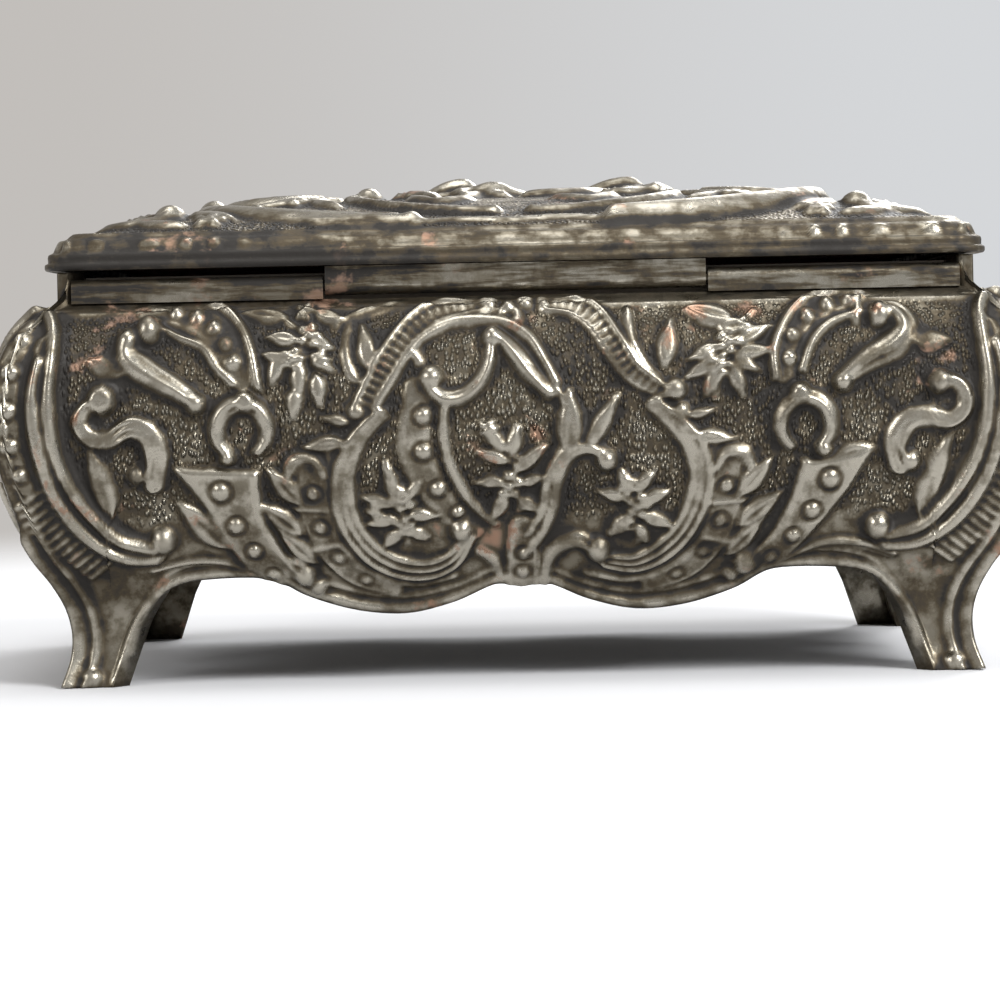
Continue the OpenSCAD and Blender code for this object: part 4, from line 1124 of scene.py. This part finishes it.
def border_loops(shell):
    """The open borders of a shell, each from its corner of lowest x and y, along +x."""
    left = dict.fromkeys(e for e in shell.edges if e.is_boundary)
    loops = []
    while left:
        edge, _ = left.popitem()
        loop = list(edge.verts)
        step = edge
        while step:
            step = next((e for e in loop[-1].link_edges if e in left), None)
            if step:
                del left[step]
                loop.append(step.other_vert(loop[-1]))
        loop.pop()
        first = min(range(len(loop)), key=lambda k: loop[k].co.x + loop[k].co.y)
        loop = loop[first:] + loop[:first]
        if loop[1].co.x < loop[-1].co.x:
            loop = loop[:1] + loop[:0:-1]
        loops.append(loop)
    return loops


def lid_grid(columns, rows, line, dome_share, line_share):
    """A grid laid over the lid, with a section line round its edge.

    Gives the shell and the order of its vertices by row, and for each vertex x, y, the line's
    height, its share of the way out to the edge and of the way along the line, and how far
    across it points on a unit square.
    """
    shell, across, rise = grid_shell(columns, rows)
    s, t = across / columns * 2 - 1, rise / rows * 2 - 1
    ring = np.maximum(np.abs(s), np.abs(t))
    safe = np.maximum(ring, 1e-9)
    line_at = np.clip((1 - ring) / line_share, 0, 1)
    inset, z = (np.interp(line_at, line[0], axis) for axis in np.array(line[1]).T)
    x, y = rounded(s / safe, t / safe, inset)
    within = np.minimum(ring / dome_share, 1)
    order = np.lexsort((across, rise))
    return shell, order, x * within, y * within, z, ring, line_at, s / safe


def rim_knobs(relief, share, on_end):
    """Knobs in a row round the dome's foot, apart from the middle of the long sides."""
    boss = np.exp(-((share - 0.6) / 0.12)**2)
    walk = np.where(on_end, relief.z, relief.u)
    knobs = np.clip(np.cos(2 * math.pi * walk / 4.1 + 1.6 * np.sin(walk * 0.37)) - 0.1, 0, 1)
    outer_part = np.where(on_end, 1, np.clip((np.abs(relief.u) - 28) / 5, 0, 1))
    return boss * knobs * outer_part * 0.6


def lid_piece(material):
    """The cast lid: rim, mouldings and dome with relief over a plain hollow underside."""
    rim = np.array(RIM_LINE)
    run = np.concatenate([[0], np.cumsum(np.hypot(*np.diff(rim, axis=0).T))])
    outer, order, x, y, z, ring, share, facing = lid_grid(
        LID_COLUMNS, LID_ROWS, (run / run[-1], RIM_LINE), RIM_SHARE, 1 - RIM_SHARE)
    z = np.where(ring < RIM_SHARE, dome_rise(x, y), z)
    sorted_x, sorted_y, ring, share, facing = (
        values[order].reshape(LID_ROWS + 1, LID_COLUMNS + 1)
        for values in (x, y, ring, share, facing))
    relief = Relief(sorted_x, sorted_y)
    lid_ornament(relief)
    fade = np.clip((1 - ring) / (1 - RIM_SHARE) * 2.2 - 1.3, 0, 1)
    field = relief.height * fade
    field = (0.9 * blurred(field, 1, 1) + 0.15 * blurred(field, 4, 2)
             + rim_knobs(relief, share, np.abs(facing) >= 1))
    stipple = np.clip(1 - field / 0.12, 0, 1) * (fade > 0.9)
    # Painted shade: the rim's upright bands, the lower part of its section, are darkened through
    # the hollow mask
    band = 0.42 * np.clip((0.42 - share) / 0.1, 0, 1)
    z = np.minimum(z + by_vertex(order, field), LID_TOP - INSIDE)
    place(outer, np.column_stack([x, y, z]))

    inner, _, x, y, z, ring, _, _ = lid_grid(
        LID_COLUMNS // COARSE, LID_ROWS // COARSE,
        (np.linspace(0, 1, len(UNDER_LINE)), UNDER_LINE), UNDER_SHARE, LEDGE_SHARE)
    roof = np.clip(dome_rise(x, y) - LID_THICK, ROOF_LOW, ROOF_HIGH)
    place(inner, np.column_stack([x, y, np.where(ring < UNDER_SHARE, roof, z)]))
    add_back(outer, inner, "lid_back")
    above, below = border_loops(outer)
    for k in range(len(above)):
        outer.faces.new((above[k - 1], above[k], below[k], below[k - 1]))
    bmesh.ops.recalc_face_normals(outer, faces=outer.faces)
    return cast_object("lid_cast", outer, masks_of(order, field, 1.8, stipple, band), material)


# Lining

# The cloth is simulated larger than life, where Blender's defaults hold
SIM_SCALE = 10.0
SIM_FRAMES = 20
# Most that a pad is puffed up, and the room that it keeps in its CAD pad
PUFF = 0.6
PAD_ROOM = 0.1


def puffed(points, faces, pins, reach):
    """Points of a closed cloth after it is blown up a little. No point moves further than reach."""
    mesh = bpy.data.meshes.new("puff")
    mesh.from_pydata(points * MM * SIM_SCALE, [], faces)
    cloth_object = bpy.data.objects.new("puff", mesh)
    scene = bpy.context.scene
    scene.collection.objects.link(cloth_object)
    held = cloth_object.vertex_groups.new(name="held")
    held.add([int(k) for k in pins], 1.0, "REPLACE")
    cloth = cloth_object.modifiers.new("cloth", "CLOTH").settings
    cloth.quality = 6
    cloth.mass = 0.2
    cloth.vertex_group_mass = "held"
    cloth.use_pressure = True
    cloth.uniform_pressure_force = 4.0
    cloth.tension_stiffness = cloth.compression_stiffness = 12.0
    cloth.shrink_min = -0.04
    cloth.effector_weights.gravity = 0.0
    for step in range(1, SIM_FRAMES + 1):
        scene.frame_set(step)
    result = cloth_object.evaluated_get(bpy.context.evaluated_depsgraph_get()).to_mesh()
    moved = np.array([v.co for v in result.vertices]) / (MM * SIM_SCALE) - points
    scene.frame_set(1)
    bpy.data.objects.remove(cloth_object)
    bpy.data.meshes.remove(mesh)
    size = np.linalg.norm(moved, axis=1, keepdims=True)
    return points + moved * np.minimum(1, reach / np.maximum(size, 1e-6))


def cushion_piece(name, node, material, up=1):
    """A padded cloth cushion in the space of a CAD pad, flat where it lies on its board."""
    low, high = (np.array(c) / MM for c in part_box(node))
    centre, half = (low + high) / 2, (high - low) / 2
    size = high[2] - low[2]
    pad = bmesh.new()
    bmesh.ops.create_grid(pad, x_segments=64, y_segments=38, size=1.0)
    bmesh.ops.solidify(pad, geom=pad.faces[:], thickness=-0.1)
    pad.verts.ensure_lookup_table()
    points = np.array([v.co for v in pad.verts])
    top = points[:, 2] > 0.05
    s, t = np.clip(points[:, 0], -1, 1), np.clip(points[:, 1], -1, 1)
    edge = np.minimum((1 - np.abs(s)) * half[0], (1 - np.abs(t)) * half[1])
    rise = np.clip(edge / 4, 0, 1)
    rise = np.sqrt(rise * (2 - rise))
    tucks = 0.05 * np.sin(s * 17 + 3 * t) * np.exp(-edge / 3) + 0.035 * np.sin(t * 5 + s * 7)
    z = np.where(top, size * (0.42 + 0.42 * rise + tucks), 0)
    drawn = 0.7 * np.sin(np.pi * (s + 1) / 2) * (np.abs(t) > 0.98)
    drawn_x = 0.6 * np.sin(np.pi * (t + 1) / 2) * (np.abs(s) > 0.98)
    place_now = np.column_stack([s * (half[0] - 0.5) - np.sign(s) * drawn_x,
                                 t * (half[1] - 0.5) - np.sign(t) * drawn, z])
    faces = [[v.index for v in f.verts] for f in pad.faces]
    place_now = puffed(place_now, faces, np.nonzero(~top)[0], PUFF)
    place_now[:, :2] = np.clip(place_now[:, :2], -half[:2] + PAD_ROOM, half[:2] - PAD_ROOM)
    z = np.clip(place_now[:, 2], 0, size - 0.05)
    z = low[2] + z if up > 0 else high[2] - z
    place(pad, np.column_stack([centre[0] + place_now[:, 0], centre[1] + place_now[:, 1], z]))
    bmesh.ops.recalc_face_normals(pad, faces=pad.faces)
    piece = cast_object(name, pad, {}, material)
    smooth = piece.modifiers.new("smooth", "SUBSURF")
    smooth.levels = smooth.render_levels = 1
    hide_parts(node)
    return piece


def velvet_wall(name, node, material):
    """Velvet on one side card, rounded at its edges."""
    low, high = (np.array(c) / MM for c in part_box(node))
    cloth = bmesh.new()
    bmesh.ops.create_cube(cloth, size=1.0)
    bmesh.ops.scale(cloth, vec=tuple((high - low) * MM), verts=cloth.verts)
    bmesh.ops.translate(cloth, vec=tuple((high + low) / 2 * MM), verts=cloth.verts)
    bmesh.ops.bevel(cloth, geom=cloth.edges[:], offset=0.00028, segments=3, profile=0.5,
                    affect="EDGES", material=-1)
    piece = cast_object(name, cloth, {}, material)
    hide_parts(node)
    return piece


# Sizes and colours that a user would change

def color(name, description, default):
    return bpy.props.FloatVectorProperty(name=name, description=description, default=default,
                                         subtype="COLOR")


class CasketSettings(bpy.types.PropertyGroup):
    silver: color("Silver", "Colour of the worn bright metal", (0.34, 0.315, 0.262))
    dull: color("Dull silver", "Colour of the lightly tarnished metal", (0.165, 0.147, 0.113))
    brown: color("Brown tarnish", "Colour of the heavier tarnish", (0.074, 0.059, 0.039))
    grime: color("Grime", "Colour of the dirt in the hollows", (0.012, 0.0095, 0.007))
    copper: color("Copper", "Colour where the silver is worn through", (0.27, 0.17, 0.118))
    velvet: color("Velvet", "Colour of the lining", (0.18, 0.012, 0.027))
    wall_columns: bpy.props.IntProperty(
        name="Columns", description="Grid columns across a long wall", default=420, min=80)
    wall_rows: bpy.props.IntProperty(
        name="Rows", description="Grid rows up a wall", default=212, min=40)
    camera_distance: bpy.props.FloatProperty(
        name="Camera distance", description="From the back wall's plane to the camera",
        default=0.35, unit="LENGTH")
    camera_height: bpy.props.FloatProperty(
        name="Camera height", description="Height of the camera over the floor",
        default=0.036, unit="LENGTH")


def metal(name, tarnish, wear, masked=True, streaks=0.0):
    """A metal of this casket by name, made once."""
    found = bpy.data.materials.get(name)
    if found:
        return found
    group = bpy.data.node_groups.get("patina") or patina_group(bpy.context.scene.casket)
    return silver_material(name, group, tarnish, wear, masked, streaks)


class CASKET_OT_walls(bpy.types.Operator):
    """Makes the four cast relief walls"""
    bl_idname = "casket.walls"
    bl_label = "Relief walls"

    def execute(self, context):
        sizes = context.scene.casket
        cast = metal("aged_silver", 0.42, 1.0)
        columns, rows = sizes.wall_columns, sizes.wall_rows
        ends = int(columns * NECK_Y / NECK_X * 1.1) // COARSE * COARSE
        for node, turn, notch, half, depth, ornament, across in (
                ("front_wall", 0, 0, NECK_X, NECK_Y, long_ornament, columns),
                ("back_wall", 180, HINGE_X + 0.2, NECK_X, NECK_Y, long_ornament, columns),
                ("right_wall", 90, 0, NECK_Y, NECK_X, end_ornament, ends),
                ("left_wall", -90, 0, NECK_Y, NECK_X, end_ornament, ends)):
            piece = wall_piece(node + "_cast", half, depth, ornament, turn, notch, across, rows,
                               cast)
            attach(piece, CASKET)
            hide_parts(node)
        return {"FINISHED"}


class CASKET_OT_lid(bpy.types.Operator):
    """Makes the cast lid"""
    bl_idname = "casket.lid"
    bl_label = "Lid"

    def execute(self, context):
        # Partly painted shade: the lid's tarnish of 0.54, above the walls' 0.42, darkens its metal
        # so that the top lamp does not wash out its highlights; the rest is its own tarnish
        piece = lid_piece(metal("lid_silver", 0.54, 1.0, True, 0.35))
        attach(piece, LID)
        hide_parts("lid_shell")
        return {"FINISHED"}


class CASKET_OT_hinge(bpy.types.Operator):
    """Finishes the hinge and the bottom plate"""
    bl_idname = "casket.hinge"
    bl_label = "Hinge and plate"

    def execute(self, context):
        leaf = metal("hinge_silver", 0.5, 0.6, False, 1.0)
        for node in ("hinge_leaf_left", "hinge_leaf_right", "hinge_leaf_lid"):
            dress(node, leaf)
        dress("hinge_pin", metal("pin_wire", 0.7, 0.2, False))
        dress("bottom_plate", metal("sheet", 0.7, 0.3, False))
        return {"FINISHED"}


class CASKET_OT_lining(bpy.types.Operator):
    """Makes the boards, velvet and pads of the lining"""
    bl_idname = "casket.lining"
    bl_label = "Lining"

    def execute(self, context):
        velvet = velvet_material(context.scene.casket)
        board = board_material()
        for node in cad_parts:
            if node.endswith("_card"):
                dress(node, board)
            if node.endswith("_lining_velvet"):
                piece = velvet_wall(node.replace("lining_velvet", "velvet_cloth"), node, velvet)
                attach(piece, CASKET)
        for name, node, body, up in (("floor_cushion", "floor_pad", CASKET, 1),
                                     ("lid_cushion", "lid_pad", LID, -1)):
            piece = cushion_piece(name, node, velvet, up)
            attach(piece, body)
        return {"FINISHED"}


class CASKET_OT_stage(bpy.types.Operator):
    """Makes the floor, the lights and the camera"""
    bl_idname = "casket.stage"
    bl_label = "Stage"

    def execute(self, context):
        sizes = context.scene.casket
        make_world(context.scene)
        make_floor()
        make_lamps()
        make_camera(context.scene, sizes)
        context.scene.view_settings.view_transform = "Standard"
        return {"FINISHED"}


WALL_COLOR = (0.60, 0.575, 0.55)
FLOOR_COLOR = (0.72, 0.73, 0.76)


def make_world(scene):
    """A pale room: white below, warm grey above, soft in between."""
    world = bpy.data.worlds.new("pale_room")
    world.use_nodes = True
    scene.world = world
    w = Wiring(world.node_tree)
    ground = world.node_tree.nodes["Background"]
    aim = w.add("ShaderNodeTexCoord").outputs["Generated"]
    split = w.add("ShaderNodeSeparateXYZ")
    w.join(aim, split.inputs[0])
    up = w.spread(split.outputs["Z"], -0.105, -0.068)
    side = w.spread(split.outputs["X"], -0.16, 0.16)
    wall = w.blend(side, (0.74, 0.755, 0.775, 1), rgba(WALL_COLOR))
    w.join(w.blend(up, rgba(FLOOR_COLOR), wall), ground.inputs["Color"])
    ground.inputs["Strength"].default_value = 0.9


def make_floor():
    """A pale round floor that fades out."""
    disc = bmesh.new()
    bmesh.ops.create_circle(disc, cap_ends=True, radius=0.5, segments=96)
    mesh = bpy.data.meshes.new("floor")
    disc.to_mesh(mesh)
    disc.free()
    floor = bpy.data.objects.new("floor", mesh)
    bpy.context.scene.collection.objects.link(floor)
    material, w, shader = new_material("pale_floor")
    shader.inputs["Base Color"].default_value = rgba((0.6, 0.605, 0.62))
    shader.inputs["Roughness"].default_value = 0.9
    size = w.add("ShaderNodeVectorMath", operation="LENGTH")
    w.join(w.spot(), size.inputs[0])
    w.join(w.spread(size.outputs["Value"], 0.10, 0.34, 1.0, 0.0), shader.inputs["Alpha"])
    mesh.materials.append(material)


def make_lamps():
    """A large soft window on one side, a weaker one on the other, one above and one beyond."""
    for name, place, power, size in (
            ("window", (-0.55, 0.55, 0.6), 11.0, 0.42),
            ("fill", (0.75, 0.5, 0.45), 3.0, 0.4),
            ("top", (0.05, 0.05, 0.9), 3.4, 0.5),
            ("far", (-0.3, -0.7, 0.6), 7.0, 0.42)):
        lamp = bpy.data.lights.new(name, "AREA")
        lamp.energy = power
        lamp.size = size
        lamp_object = bpy.data.objects.new(name, lamp)
        bpy.context.scene.collection.objects.link(lamp_object)
        lamp_object.location = place
        aim = Vector((0, 0, 0.03)) - Vector(place)
        lamp_object.rotation_euler = aim.to_track_quat("-Z", "Y").to_euler()


def make_camera(scene, sizes):
    """The photograph's view: from behind, low and close."""
    eye = Vector((0.0022, 0.032 + sizes.camera_distance, sizes.camera_height))
    goal = Vector((0.0022, 0.032, 0.020))
    camera = bpy.data.cameras.new("camera")
    camera.sensor_width = 36.0
    camera.lens = 36.0 * 9.05 * sizes.camera_distance
    view = bpy.data.objects.new("camera", camera)
    scene.collection.objects.link(view)
    turn = (goal - eye).to_track_quat("-Z", "Y").to_matrix()
    roll = Matrix.Rotation(math.radians(-1.2), 3, "Z")
    view.matrix_world = Matrix.Translation(eye) @ (turn @ roll).to_4x4()
    scene.camera = view


class CASKET_PT_panel(bpy.types.Panel):
    """Lists the casket's pieces in the sidebar"""
    bl_idname = "CASKET_PT_panel"
    bl_label = "Casket"
    bl_space_type = "VIEW_3D"
    bl_region_type = "UI"
    bl_category = "Casket"

    def draw(self, context):
        for operator in OPERATORS:
            self.layout.operator(operator.bl_idname)
        for name in CasketSettings.__annotations__:
            self.layout.prop(context.scene.casket, name)


OPERATORS = (CASKET_OT_walls, CASKET_OT_lid, CASKET_OT_hinge, CASKET_OT_lining, CASKET_OT_stage)
CLASSES = (CasketSettings, *OPERATORS, CASKET_PT_panel)


def register():
    for cls in CLASSES:
        bpy.utils.register_class(cls)
    bpy.types.Scene.casket = bpy.props.PointerProperty(type=CasketSettings)


def unregister():
    del bpy.types.Scene.casket
    for cls in reversed(CLASSES):
        bpy.utils.unregister_class(cls)


def main():
    register()
    bpy.ops.casket.walls()
    bpy.ops.casket.lid()
    bpy.ops.casket.hinge()
    bpy.ops.casket.lining()
    bpy.ops.casket.stage()
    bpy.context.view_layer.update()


if __name__ == "__main__":
    main()
